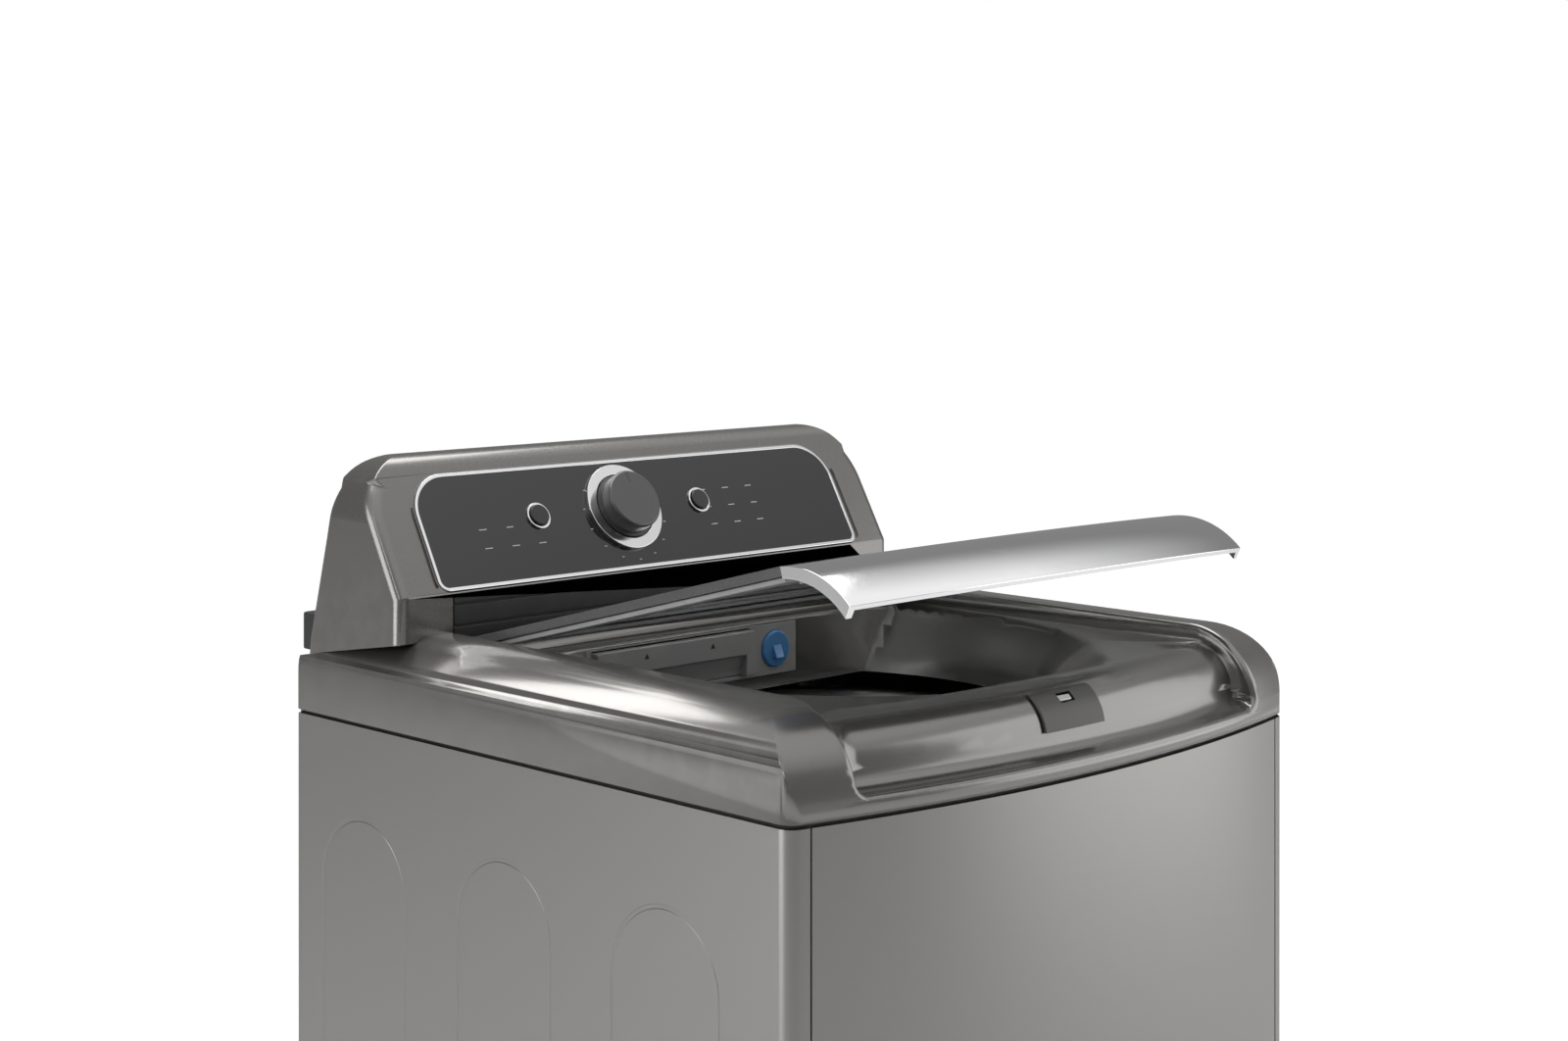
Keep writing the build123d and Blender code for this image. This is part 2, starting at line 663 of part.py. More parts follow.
def lid_chrome_front():
    """The full-width bright handle that curves down over the front slope."""
    shell = bowed(handle_edges(CHROME_T)) & block(-LID_HALF, LID_HALF, -FAR, Y_HINGE, 0, FAR)
    for side in (-1, 1):
        near, far = side * (LID_HALF - CHROME_END), side * LID_HALF
        cheek = bowed(handle_edges(CHROME_CHEEK))
        shell += cheek & block(min(near, far), max(near, far), -FAR, Y_HINGE, 0, FAR)
    return lid_turn(shell)


def lid_keeper():
    """The steel keeper plate under the handle, with the eye that the bolt enters."""
    plate = Rectangle(KEEPER_W, KEEPER_H) - bolt_outline(SLOT_PLAY)
    return lid_turn(on_latch(plate, KEEPER_UP, KEEPER_UP + KEEPER_T))


def lid_bumpers():
    """Two soft round stops under the lid's front corners."""
    made = []
    low = Z_CREST - LID_T
    for side in (-1, 1):
        x = side * (LID_HALF - BUMPER_FROM_SIDE)
        y = bow_y(x) + chrome_start() + 22.0
        made.append(lid_turn(disc(BUMPER_R, low - BUMPER_H, low, x, y)))
    return Compound(children=made)


def bow_y(x):
    """Where the bowed front stands at x."""
    return BOW_AXIS - math.sqrt(BOW_R * BOW_R - x * x)


def hinge_pins():
    """The two steel pins that the lid turns on."""
    x0 = LID_HALF - PIN_LENGTH / 2
    made = [along_x(PIN_R, x0, LID_HALF + PIN_LENGTH, Y_HINGE, Z_HINGE, side) for side in (-1, 1)]
    return Compound(children=[lid_turn(pin) for pin in made])


# ---- Console

Z_FASCIA = Z_HINGE + 1.0 + FASCIA_H
Y_PANEL_LOW = Y_CONSOLE + FIT
Y_CROWN = Y_REAR - CONSOLE_BACK_INSET - CONSOLE_TOP_BACK - CROWN_R
Z_CROWN = HEIGHT - CROWN_R


def crown_touch():
    """Where the slanted front meets the crown's arc, and the direction up the slant."""
    dy, dz = Y_CROWN - Y_PANEL_LOW, Z_CROWN - Z_FASCIA
    reach = math.hypot(dy, dz)
    lean = math.atan2(dy, dz) - math.asin(CROWN_R / reach)
    return lean


LEAN = crown_touch()  # the glass leans back from upright by this angle, radians


def console_section(inset):
    """The console's side outline: slanted front, round crown, leaning back."""
    r = CROWN_R - inset
    y_back = Y_REAR - CONSOLE_BACK_INSET - inset
    front_low = (Y_PANEL_LOW + inset / math.cos(LEAN), Z_FASCIA)
    touch = (Y_CROWN - r * math.cos(LEAN), Z_CROWN + r * math.sin(LEAN))
    top = (Y_CROWN + r * 0.2588, Z_CROWN + r * 0.9659)
    rear = (Y_CROWN + r * 0.9659, Z_CROWN + r * 0.2588)
    edges = Polyline(front_low, touch).edges() + ThreePointArc(touch, top, rear).edges()
    edges += Polyline(rear, (y_back, Z_SEAM + 90.0), (y_back, 0), (front_low[0], 0), front_low).edges()
    return edges


def console_front(inset):
    """The console seen from the front: upright ends and large rounded shoulders."""
    half = HALF - CONSOLE_INSET - inset
    top = HEIGHT - inset
    r = CONSOLE_END_R - inset
    c = r * math.sqrt(0.5)
    edges = Polyline((-half, top - r), (-half, 0), (half, 0), (half, top - r)).edges()
    edges += ThreePointArc((half, top - r), (half - r + c, top - r + c), (half - r, top)).edges()
    edges += Line((half - r, top), (-half + r, top)).edges()
    edges += ThreePointArc((-half + r, top), (-half + r - c, top - r + c), (-half, top - r)).edges()
    return extrude(Plane.XZ * make_face(edges), FAR, both=True)


def console_mass(inset):
    """The console's outer form above its seat, drawn in by inset."""
    body = across(console_section(inset), -HALF, HALF) & console_front(inset)
    return body & (Pos(0, FIT, FIT) * console_seat(0.0))


def panel_plane(lift=0.0):
    """The slanted plane of the glass: x across, y up the slant, z out towards the user."""
    out = Vector(0, -math.cos(LEAN), math.sin(LEAN))
    foot_in = Vector(0, Y_PANEL_LOW, Z_FASCIA) + out * lift
    return Plane(foot_in, x_dir=(1, 0, 0), z_dir=out)


def panel_length():
    """Length of the flat slant, from the fascia to the crown."""
    return (Z_CROWN + CROWN_R * math.sin(LEAN) - Z_FASCIA) / math.cos(LEAN)


def panel_outline(grow):
    """The glass outline on the slanted plane, large corners at the top and small ones below."""
    half = HALF - PANEL_SIDE + grow
    low, high = PANEL_SILL - grow, panel_length() - PANEL_TOP + grow
    face = Pos(0, (low + high) / 2) * Rectangle(2 * half, high - low)
    face = fillet(face.vertices().group_by(Axis.Y)[-1], PANEL_R + grow)
    return fillet(face.vertices().sort_by(Axis.Y)[:2], PANEL_FOOT_R + grow)


def on_panel(face, low, high):
    """A plan outline on the glass plane, carried from low to high along its normal."""
    return extrude(panel_plane(low) * face, high - low)


def knob_up():
    """Height of the knob's axis up the slant."""
    return 0.52 * panel_length()


def knob_spot(x):
    """A control's centre on the glass plane."""
    return Pos(x, knob_up())


def console_housing():
    """The hollow console shell with the recess for its glass."""
    shell = console_mass(0.0) - console_mass(CONSOLE_WALL)
    shell -= on_panel(panel_outline(TRIM_W + 0.2), -40.0, 40.0)
    ledge = on_panel(panel_outline(TRIM_W + 4.0) - panel_outline(-6.0), -PANEL_T - 5.0, -PANEL_T - 0.4)
    shell += ledge & console_mass(0.5)
    back = outline((Y_REAR - 60, Z_SEAM + 58.0), (Y_REAR + 5, Z_SEAM + 58.0), (Y_REAR + 5, Z_SEAM + 98.0),
                   (Y_REAR - 60, Z_SEAM + 98.0))
    shell -= across(back, -HALF + 40, HALF - 40)
    fascia = block(-RECESS + 1, RECESS - 1, -FAR, Y_CONSOLE + 12, 0, Z_FASCIA - 2.0)
    return shell - fascia


def console_trim():
    """The bright line round the glass."""
    return on_panel(panel_outline(TRIM_W) - panel_outline(0.1), -PANEL_T, 0.6)


def console_glass():
    """The dark control glass with ways through for the knob and the two buttons."""
    glass = on_panel(panel_outline(0.0), -PANEL_T, 0.0)
    glass -= on_panel(knob_spot(KNOB_X) * Circle(SHAFT_R + 1.0), -20, 20)
    for x in (POWER_X, START_X):
        glass -= on_panel(knob_spot(x) * Circle(STEM_R + 1.0), -20, 20)
    return glass


def lower_fascia():
    """The stepped black strip between the lid's hinge and the glass."""
    low, high = seat_z(Y_CONSOLE) + FIT, Z_FASCIA - 2.5
    body = block(-RECESS + 2, RECESS - 2, Y_PANEL_LOW, Y_CONSOLE + 10, low, high)
    step = (high - low) / 4
    for turn in (1, 3):
        z = low + turn * step
        body -= block(-HALF, HALF, Y_PANEL_LOW, Y_PANEL_LOW + 3.0, z, z + 2.0)
    return body


def control_board():
    """The circuit board behind the glass, with the knob's encoder and two switches."""
    board = on_panel(Pos(0, knob_up()) * Rectangle(2 * (HALF - PANEL_SIDE) - 60, 70), -PANEL_T - 22.0, -PANEL_T - 20.0)
    board += on_panel(knob_spot(KNOB_X) * Rectangle(20, 20), -PANEL_T - 20.0, -PANEL_T - 13.0)
    board -= on_panel(knob_spot(KNOB_X) * Circle(SHAFT_R + PIN_PLAY), -PANEL_T - 30.0, 0)
    for x in (POWER_X, START_X):
        board += on_panel(knob_spot(x) * Rectangle(14, 14), -PANEL_T - 20.0, -PANEL_T - 14.0 - BUTTON_STROKE)
    return board


def control_rings():
    """The bright rings round the knob and the two buttons."""
    made = [on_panel(knob_spot(KNOB_X) * (Circle(KNOB_RING_R) - Circle(KNOB_R + 4.0)), 0.1, KNOB_RING_T)]
    for x in (POWER_X, START_X):
        made.append(on_panel(knob_spot(x) * (Circle(BUTTON_RING_R) - Circle(BUTTON_R + 0.6)), 0.1, 2.6))
    return Compound(children=made)


def cycle_knob():
    """The round selector knob and its shaft."""
    body = on_panel(knob_spot(KNOB_X) * Circle(KNOB_R + 2.5), 1.0, 6.0)
    body += on_panel(knob_spot(KNOB_X) * Circle(KNOB_R), 6.0, KNOB_H)
    outer = body.edges().filter_by(GeomType.CIRCLE).sort_by(lambda e: (e.center() - panel_plane().origin).dot(
        panel_plane().z_dir))[-1]
    body = fillet(outer, 3.0)
    body += on_panel(knob_spot(KNOB_X) * Circle(SHAFT_R), -PANEL_T - 19.0, 2.0)
    mark = Pos(KNOB_X, knob_up() + KNOB_R - 9.0) * Rectangle(2.4, 12.0)
    return body - on_panel(mark, KNOB_H - 0.8, KNOB_H + 1.0)


def push_button(x):
    """A round push button on its stem."""
    cap = on_panel(knob_spot(x) * Circle(BUTTON_R), 1.0 + BUTTON_STROKE, 5.0)
    stem = on_panel(knob_spot(x) * Circle(STEM_R), -PANEL_T - 13.0, 2.0 + BUTTON_STROKE)
    return cap + stem


def console_rear_cover():
    """The plain black cover low on the back of the console."""
    low, high = Z_SEAM + 60.0, Z_SEAM + 96.0
    inner = Y_REAR - CONSOLE_BACK_INSET + FIT
    body = block(-HALF + 12, HALF - 12, inner, Y_REAR + REAR_PROUD, low, high)
    outer = body.edges().filter_by(Axis.Z).group_by(Axis.Y)[-1]
    body = fillet(outer, 8.0)
    return body - block(-HALF + 15, HALF - 15, inner - 1, Y_REAR + REAR_PROUD - 3, low + 3, high - 3)


# ---- Dispenser


def drawer_floor():
    """Underside of the detergent drawer."""
    return Z_SEAM + 21.0


def drawer_top():
    """Top of the detergent drawer."""
    return drawer_floor() + DRAWER_H


def housing_top():
    """Top of the dispenser housing, just under the hinge trough."""
    return Z_DECK - TROUGH_DROP - COVER_WALL - FIT


def dispenser_housing():
    """The open-fronted box behind the opening that the drawer slides in."""
    left, right = housing_span()
    low, high = drawer_floor() - 4.5, housing_top()
    body = block(left, right, Y_OPENING + COVER_WALL + FIT, Y_OPENING + DRAWER_DEPTH + 14, low, high)
    body += block(left, right, Y_OPENING, Y_OPENING + 5, low, drawer_top() + 2.5)
    side = DRAWER_W / 2 + FIT
    body -= block(DRAWER_X - side, DRAWER_X + side, Y_OPENING - 5, Y_OPENING + DRAWER_DEPTH + 10,
                  drawer_floor() - FIT, high - HOUSING_WALL)
    body -= block(DRAWER_X - side, DRAWER_X + side, Y_OPENING - 5, Y_OPENING + 8, drawer_floor() - FIT,
                  drawer_top() + FIT)
    body -= along_y(NOZZLE_R + 0.3, NOZZLE_X, nozzle_z(), Y_OPENING - 5, Y_OPENING + 20)
    for x in (DRAWER_X - 60, DRAWER_X + 60):
        body -= along_y(HOSE_R + 0.3, x, hose_z(), Y_OPENING + DRAWER_DEPTH + 5, Y_OPENING + DRAWER_DEPTH + 20)
    return body


def nozzle_z():
    """Height of the spray nozzle's axis."""
    return (drawer_floor() + drawer_top()) / 2 - 1.0


def dispenser_drawer():
    """The two-compartment drawer with its curved front and finger recess below."""
    low, high = drawer_floor(), housing_top() - HOUSING_WALL - CLEAR
    left, right = DRAWER_X - DRAWER_W / 2, DRAWER_X + DRAWER_W / 2
    y0, y1 = Y_OPENING - 2.0, Y_OPENING + DRAWER_DEPTH
    body = block(left, right, y0 + 4, y1, low, high)
    middle = DRAWER_X - DRAWER_WALL / 2
    body -= block(left + DRAWER_WALL, middle, y0 + 8, y1 - DRAWER_WALL, low + DRAWER_WALL, high + 1)
    body -= block(middle + DRAWER_WALL, right - DRAWER_WALL, y0 + 8, y1 - DRAWER_WALL, low + DRAWER_WALL, high + 1)
    face = block(left, right, y0 - 6, y0 + 5, low, drawer_top() - 1.0)
    face -= across(outline((y0 - 20, low - 1), (y0 + 5, low - 1), (y0 + 5, low + 5), (y0 - 2, low + 20),
                           (y0 - 20, low + 28)), left + 12, right - 12)
    return body + face


def spray_nozzle():
    """The round fresh-water nozzle beside the drawer."""
    body = along_y(NOZZLE_R, NOZZLE_X, nozzle_z(), Y_OPENING - 3, Y_OPENING + 16)
    body = fillet(body.edges().sort_by(Axis.Y)[:1], 2.5)
    spout = across(outline((Y_OPENING - 9, nozzle_z() - 9), (Y_OPENING, nozzle_z() - 9), (Y_OPENING, nozzle_z() + 4),
                           (Y_OPENING - 4, nozzle_z() + 4)), NOZZLE_X - 6, NOZZLE_X + 6)
    return body + spout


def bleach_cup():
    """The crescent funnel cup at the front left of the opening."""
    low, high = Z_SEAM + 8.0, Z_SEAM + 46.0
    sector = block(-CUP_X - 66, -CUP_X + 66, Y_TUB - FAR, Y_TUB - 60, low, high)
    outer = disc(CUP_OUT, low, high, 0, Y_TUB)
    inner = disc(CUP_OUT - 46, low - 1, high + 1, 0, Y_TUB)
    cup = (outer - inner) & sector
    hollow = disc(CUP_OUT - 3, low + 3, high + 1, 0, Y_TUB) - disc(CUP_OUT - 43, low, high + 2, 0, Y_TUB)
    hollow &= block(-CUP_X - 63, -CUP_X + 63, Y_TUB - FAR, Y_TUB - 60, low + 3, high + 1)
    return cup - hollow


# ---- Water, drain and power

def valve_places():
    """The hot and cold inlets, left to right as seen from the front."""
    return [VALVE_X - VALVE_PITCH, VALVE_X]


def valve_height():
    """Height of the inlets and the drain outlet."""
    return Z_SEAM - 45.0


def hose_z():
    """Height of the fill hoses where they enter the dispenser."""
    return drawer_floor() + 12.0


def inlet_valves():
    """Two inlet valves: threaded port, flange, coil body and outlet."""
    made = []
    z = valve_height()
    for x in valve_places():
        port = along_y(VALVE_R, x, z, Y_REAR - 8, Y_REAR + REAR_PROUD - 1)
        port -= along_y(VALVE_R - 3, x, z, Y_REAR - 4, Y_REAR + REAR_PROUD)
        flange = block(x - 22, x + 22, Y_REAR - SHEET - 5.5, Y_REAR - SHEET - 0.5, z - 20, z + 20)
        flange -= along_y(VALVE_R - 3, x, z, Y_REAR - 4, Y_REAR + REAR_PROUD)
        coil = block(x - 16, x + 16, Y_REAR - 45, Y_REAR - SHEET - 5, z - 18, z + 14)
        made.append(port + flange + coil)
    return Compound(children=made)


def fill_hoses():
    """Two short rubber hoses from the valves up to the dispenser housing."""
    made = []
    ends = (DRAWER_X - 60, DRAWER_X + 60)
    y_valve = Y_REAR - 32.0
    y_end = Y_OPENING + DRAWER_DEPTH + 9
    for turn, (x, end) in enumerate(zip(valve_places(), ends)):
        run_y = Y_REAR - 24.0 - turn * 25.0
        start = (x, y_valve, valve_height() + 14)
        route = [start, (x, y_valve, hose_z()), (end, y_valve, hose_z()), (end, y_end, hose_z())]
        if turn == 0:
            route = [start, (x, y_valve, hose_z() - 22), (end, y_valve, hose_z() - 22),
                     (end, y_valve, hose_z()), (end, y_end, hose_z())]
        path = FilletPolyline(*route, radius=10.0)
        section = Plane(path @ 0, z_dir=path % 0) * (Circle(HOSE_R) - Circle(HOSE_R - 2.5))
        made.append(sweep(section, path=path))
    return Compound(children=made)


def drain_pump():
    """The drain pump on the base: inlet neck, chamber and motor."""
    x, y = SUMP_X, Y_TUB - SUMP_BACK
    z0 = Z_BASE_TOP - PUMP_SINK
    body = disc(PUMP_R, z0, z0 + PUMP_H, x, y)
    body += disc(SUMP_R - 4, z0 + PUMP_H, z0 + PUMP_H + 16, x, y)
    body += along_y(24.0, x, z0 + 26, y - 72, y)
    body += block(x - PUMP_R, x + PUMP_R, y - 30, y + 30, z0 - PUMP_SOLE, z0 + PUMP_SOLE)
    return body


def drain_hose():
    """The outlet hose from the pump up to the port in the rear panel."""
    y = Y_TUB - SUMP_BACK
    z = Z_BASE_TOP + DRAIN_PORT_R + CLEAR
    side = -HALF + 30.0
    back = Y_REAR - 22.0
    route = [(SUMP_X - PUMP_R, y, z), (side, y, z), (side, back, z), (side, back, valve_height()),
             (DRAIN_PORT_X, back, valve_height()), (DRAIN_PORT_X, Y_REAR + REAR_PROUD - 2, valve_height())]
    path = FilletPolyline(*route, radius=18.0)
    section = Plane(path @ 0, z_dir=path % 0) * (Circle(DRAIN_PORT_R - 1) - Circle(DRAIN_PORT_R - 4))
    return sweep(section, path=path)


def cord_gland():
    """The strain relief for the supply cord."""
    body = along_y(GLAND_R, GLAND_X, GLAND_Z, Y_REAR - 8, Y_REAR + 10)
    body += along_y(GLAND_R + 4, GLAND_X, GLAND_Z, Y_REAR + 0.3, Y_REAR + 4)
    return body - along_y(4.5, GLAND_X, GLAND_Z, Y_REAR - 10, Y_REAR + 12)


def panel_screws():
    """The screws round the rear panel."""
    made = []
    x = HALF - FLANGE - PANEL_JOINT - 12
    for side in (-1, 1):
        for turn in range(4):
            z = Z_BASE + 40 + turn * (Z_SEAM - Z_BASE - 80) / 3
            head = along_y(4.5, side * x, z, Y_REAR + 0.1, Y_REAR + 2.6)
            slot = Pos(side * x, Y_REAR + 2.6, z) * Box(6.0, 1.6, 1.2)
            cross = Pos(side * x, Y_REAR + 2.6, z) * Box(1.2, 1.6, 6.0)
            made.append(head - slot - cross)
    return Compound(children=made)


# ---- Tub, basket and drive


def outer_tub():
    """The plastic tub that holds the water, with its four suspension lugs and sump."""
    body = disc(TUB_R, Z_TUB, Z_RIM, 0, Y_TUB) - disc(TUB_R - TUB_WALL, Z_TUB + TUB_WALL, Z_RIM + 1, 0, Y_TUB)
    lug_z = Z_TUB + LUG_UP
    for sx in (-1, 1):
        for sy in (-1, 1):
            x, y = sx * ROD_X, Y_TUB + sy * ROD_Y
            angle = math.degrees(math.atan2(y - Y_TUB, x))
            reach = math.hypot(x, y - Y_TUB)
            arm = Pos(0, Y_TUB, lug_z + LUG_T / 2) * Rot(0, 0, angle) * Pos((TUB_R + reach) / 2, 0, 0)
            body += arm * Box(reach - TUB_R + 2.0, 34.0, LUG_T)
            body += disc(SPRING_R + 4, lug_z, lug_z + LUG_T, x, y)
            body -= disc(ROD_R + CLEAR, lug_z - 1, lug_z + LUG_T + 1, x, y)
    body -= disc(SHAFT_HOLE_R, Z_TUB - 1, Z_TUB + TUB_WALL + 1, 0, Y_TUB)
    sump_y = Y_TUB - SUMP_BACK
    body -= disc(SUMP_R - 5, Z_TUB - 1, Z_TUB + TUB_WALL + 1, SUMP_X, sump_y)
    body += ring(SUMP_R - 2, SUMP_R - 5, Z_TUB - 14, Z_TUB + 1, SUMP_X, sump_y)
    return body


def tub_cover():
    """The ring that closes the top of the tub round the basket's mouth."""
    low, high = Z_RIM + 0.5, Z_RIM + COVER_RING_T
    mouth = MOUTH_R + 3.0
    edges = outline((mouth, low + 6), (mouth, high - 3), (mouth + 6, high), (TUB_R - 4, high - 6), (TUB_R + 3, high - 8),
                    (TUB_R + 3, low - 10), (TUB_R + 0.5, low - 10), (TUB_R + 0.5, low), (mouth + 3, low + 6))
    return turned(edges, 0, Y_TUB)


def basket_top():
    """Top edge of the steel basket."""
    return Z_RIM - RING_H + 2.0


def wash_basket():
    """The perforated steel basket."""
    high = basket_top()
    edges = outline((BASKET_R, Z_BASKET + 8), (BASKET_R, high), (BASKET_R - BASKET_WALL, high),
                    (BASKET_R - BASKET_WALL, Z_BASKET + 8 + BASKET_WALL), (BASKET_R - 8, Z_BASKET + BASKET_WALL),
                    (SPIN_R + 26, Z_BASKET + BASKET_WALL), (SPIN_R + 26, Z_BASKET), (BASKET_R - 8, Z_BASKET))
    body = turned(edges, 0, Y_TUB)
    pitch = (high - Z_BASKET - 90.0) / (HOLE_ROWS - 1)
    drills = []
    for row in range(HOLE_ROWS):
        z = Z_BASKET + 60.0 + row * pitch
        for column in range(HOLE_COLUMNS):
            turn = (column + 0.5 * (row % 2)) * 360.0 / HOLE_COLUMNS
            spot = Pos(0, Y_TUB, z) * Rot(0, 0, turn) * Pos(BASKET_R - BASKET_WALL / 2, 0, 0)
            drills.append(spot * Rot(0, 90, 0) * Cylinder(BASKET_HOLE_R, 6 * BASKET_WALL))
    return body - drills


def balance_ring():
    """The sealed balance ring on top of the basket."""
    low, high = basket_top() + 0.3, Z_RIM + 3.0
    edges = outline((MOUTH_R, low), (BASKET_R, low), (BASKET_R, high - 8), (BASKET_R - 8, high), (MOUTH_R + 6, high),
                    (MOUTH_R, high - 6))
    return turned(edges, 0, Y_TUB)


def basket_hub():
    """The cast spider under the basket that clamps it to the spin shaft."""
    high = Z_BASKET - 0.3
    body = disc(48, high - HUB_H, high, 0, Y_TUB)
    for turn in range(3):
        arm = Pos(0, Y_TUB, high - HUB_H / 2) * Rot(0, 0, 120 * turn + 30) * Pos(BASKET_R / 2 - 10, 0, 0)
        body += arm * Box(BASKET_R - 24, 30, HUB_H)
    return body - disc(SPIN_R, high - HUB_H - 1, high + 1, 0, Y_TUB)


def drum_floor():
    """Underside of the pulsator."""
    return Z_BASKET + BASKET_WALL + CLEAR


def pulsator():
    """The wash plate with its dome and curved vanes."""
    z = drum_floor()
    r = BASKET_R - PULSATOR_RIM
    edges = outline((WASH_R, z), (r, z), (r, z + 5), (r - 8, z + 9), (r * 0.55, z + 6), (52, z + PULSATOR_H),
                    (26, z + PULSATOR_H + 14), (WASH_R, z + PULSATOR_H + 14))
    body = turned(edges, 0, Y_TUB)
    for turn in range(VANE_COUNT):
        vane = Pos(0, Y_TUB, z + 4) * Rot(0, 0, turn * 360 / VANE_COUNT) * Pos((r + 30) / 2, 0, VANE_H / 2)
        body += vane * Box(r - 60, 15, VANE_H)
    return body


def pulsator_bolt():
    """The cap bolt that holds the pulsator on the wash shaft."""
    z = drum_floor() + PULSATOR_H + 14
    return disc(15, z + 0.2, z + 7, 0, Y_TUB) - Pos(0, Y_TUB, z + 5) * extrude(RegularPolygon(5, 6), 3)


def bearing_levels():
    """Undersides of the lower and the upper bearing."""
    return Z_TUB - HOUSING_H + 6.0, Z_TUB - BEARING_T - 12.0


def spin_shaft():
    """The hollow shaft that turns the basket."""
    low = Z_TUB - HOUSING_H - 8.0
    return ring(SPIN_R, SPIN_BORE, low, Z_BASKET - 0.4, 0, Y_TUB)


def wash_shaft():
    """The inner shaft from the rotor to the pulsator."""
    return disc(WASH_R, rotor_floor(), drum_floor() + PULSATOR_H + 14, 0, Y_TUB)


def shaft_bearings():
    """The two ball bearings that carry the spin shaft."""
    made = [ring(BEARING_R, SPIN_R + BEARING_PLAY, z, z + BEARING_T, 0, Y_TUB) for z in bearing_levels()]
    return Compound(children=made)


def shaft_seal():
    """The lip seal above the upper bearing."""
    z = bearing_levels()[1] + BEARING_T + 0.5
    return ring(BEARING_R - 2, SPIN_R + BEARING_PLAY, z, z + 8, 0, Y_TUB)


def bearing_housing():
    """The flanged housing under the tub that holds both bearings and the seal."""
    low = Z_TUB - HOUSING_H
    body = disc(HOUSING_R, low, Z_TUB - 0.3, 0, Y_TUB) + disc(HOUSING_R + 70, Z_TUB - 9, Z_TUB - 0.3, 0, Y_TUB)
    body -= disc(SPIN_R + 3, low - 1, Z_TUB, 0, Y_TUB)
    for z in bearing_levels():
        body -= disc(BEARING_R, z, z + BEARING_T, 0, Y_TUB)
    z = bearing_levels()[1] + BEARING_T
    body -= disc(BEARING_R - 2, z, Z_TUB, 0, Y_TUB)
    z = bearing_levels()[0]
    return body - disc(BEARING_R, low - 1, z + 1, 0, Y_TUB)


def stator_level():
    """Underside of the stator."""
    return Z_TUB - HOUSING_H + 8.0


def stator():
    """The wound stator round the bearing housing."""
    z = stator_level()
    body = ring(STATOR_R - 26, HOUSING_R + 0.3, z + 4, z + STATOR_H - 4, 0, Y_TUB)
    for turn in range(TEETH):
        tooth = Pos(0, Y_TUB, z + STATOR_H / 2) * Rot(0, 0, turn * 360 / TEETH) * Pos(STATOR_R - 15, 0, 0)
        body += tooth * Box(30, 14, STATOR_H)
    return body & disc(STATOR_R, z - 1, z + STATOR_H + 1, 0, Y_TUB)


def rotor_floor():
    """Underside of the rotor cup."""
    return stator_level() - ROTOR_GAP - ROTOR_WALL - 14.0


def rotor():
    """The rotor cup with its magnets outside the stator."""
    z = rotor_floor()
    high = stator_level() + STATOR_H + 2
    body = disc(ROTOR_R, z, high, 0, Y_TUB) - disc(STATOR_R + 3, z + ROTOR_WALL, high + 1, 0, Y_TUB)
    for turn in range(8):
        spot = Pos(0, Y_TUB, z) * Rot(0, 0, 45 * turn) * Pos(80, 0, 0)
        body -= spot * Cylinder(14, 3 * ROTOR_WALL)
    return body - disc(WASH_R, z - 1, z + ROTOR_WALL + 1, 0, Y_TUB)


def rotor_nut():
    """The nut that clamps the rotor to the wash shaft."""
    return Pos(0, Y_TUB, rotor_floor() - 8.3) * extrude(RegularPolygon(14, 6), 8)


def sump_bellows():
    """The folded rubber sleeve between the tub's sump and the pump."""
    low, high = Z_BASE_TOP - PUMP_SINK + PUMP_H + 0.3, Z_TUB - 0.3
    points = [(SUMP_R - 3.5, low)]
    folds = 6
    pitch = (high - low) / folds
    for turn in range(folds):
        points.append((SUMP_R + 5, low + (turn + 0.5) * pitch))
        points.append((SUMP_R - 1.5, low + (turn + 1) * pitch))
    inner = [(r - 1.6 if r > SUMP_R - 3 else r, z) for r, z in reversed(points)]
    inner = [(max(r, SUMP_R - 1.9), z) for r, z in inner]
    outer = [(max(r, SUMP_R), z) for r, z in points]
    return turned(outline(*outer, *inner), SUMP_X, Y_TUB - SUMP_BACK)


# ---- Suspension


def rod_places():
    """Plan positions of the four suspension rods."""
    return [(sx * ROD_X, Y_TUB + sy * ROD_Y) for sx in (-1, 1) for sy in (-1, 1)]


def suspension_brackets():
    """Corner brackets under the cabinet's top edge that the rods hang from."""
    made = []
    high = Z_SEAM - BRACKET_DROP
    for x, y in rod_places():
        side = 1 if x > 0 else -1
        wall = side * (HALF - SHEET - 0.3)
        plate = block(min(x - side * 20, wall), max(x - side * 20, wall), y - 24, y + 24, high - BRACKET_T, high)
        edge = block(min(wall - side * 4, wall), max(wall - side * 4, wall), y - 24, y + 24, high - 50, high)
        made.append(plate + edge - disc(ROD_R + 1.0, high - 10, high + 1, x, y))
    return Compound(children=made)


def suspension_rods():
    """Four hanging rods with a ball head above and a spring seat below."""
    made = []
    high = Z_SEAM - BRACKET_DROP
    for x, y in rod_places():
        body = disc(ROD_R, spring_low() - 14, high + 6, x, y)
        body += disc(10, high + 0.3, high + 8, x, y)
        body += disc(SPRING_R + 3, spring_low() - 5, spring_low() - 0.3, x, y)
        made.append(body)
    return Compound(children=made)


def spring_low():
    """Where the springs stand on their rod seats."""
    return Z_TUB + LUG_UP - SPRING_LENGTH


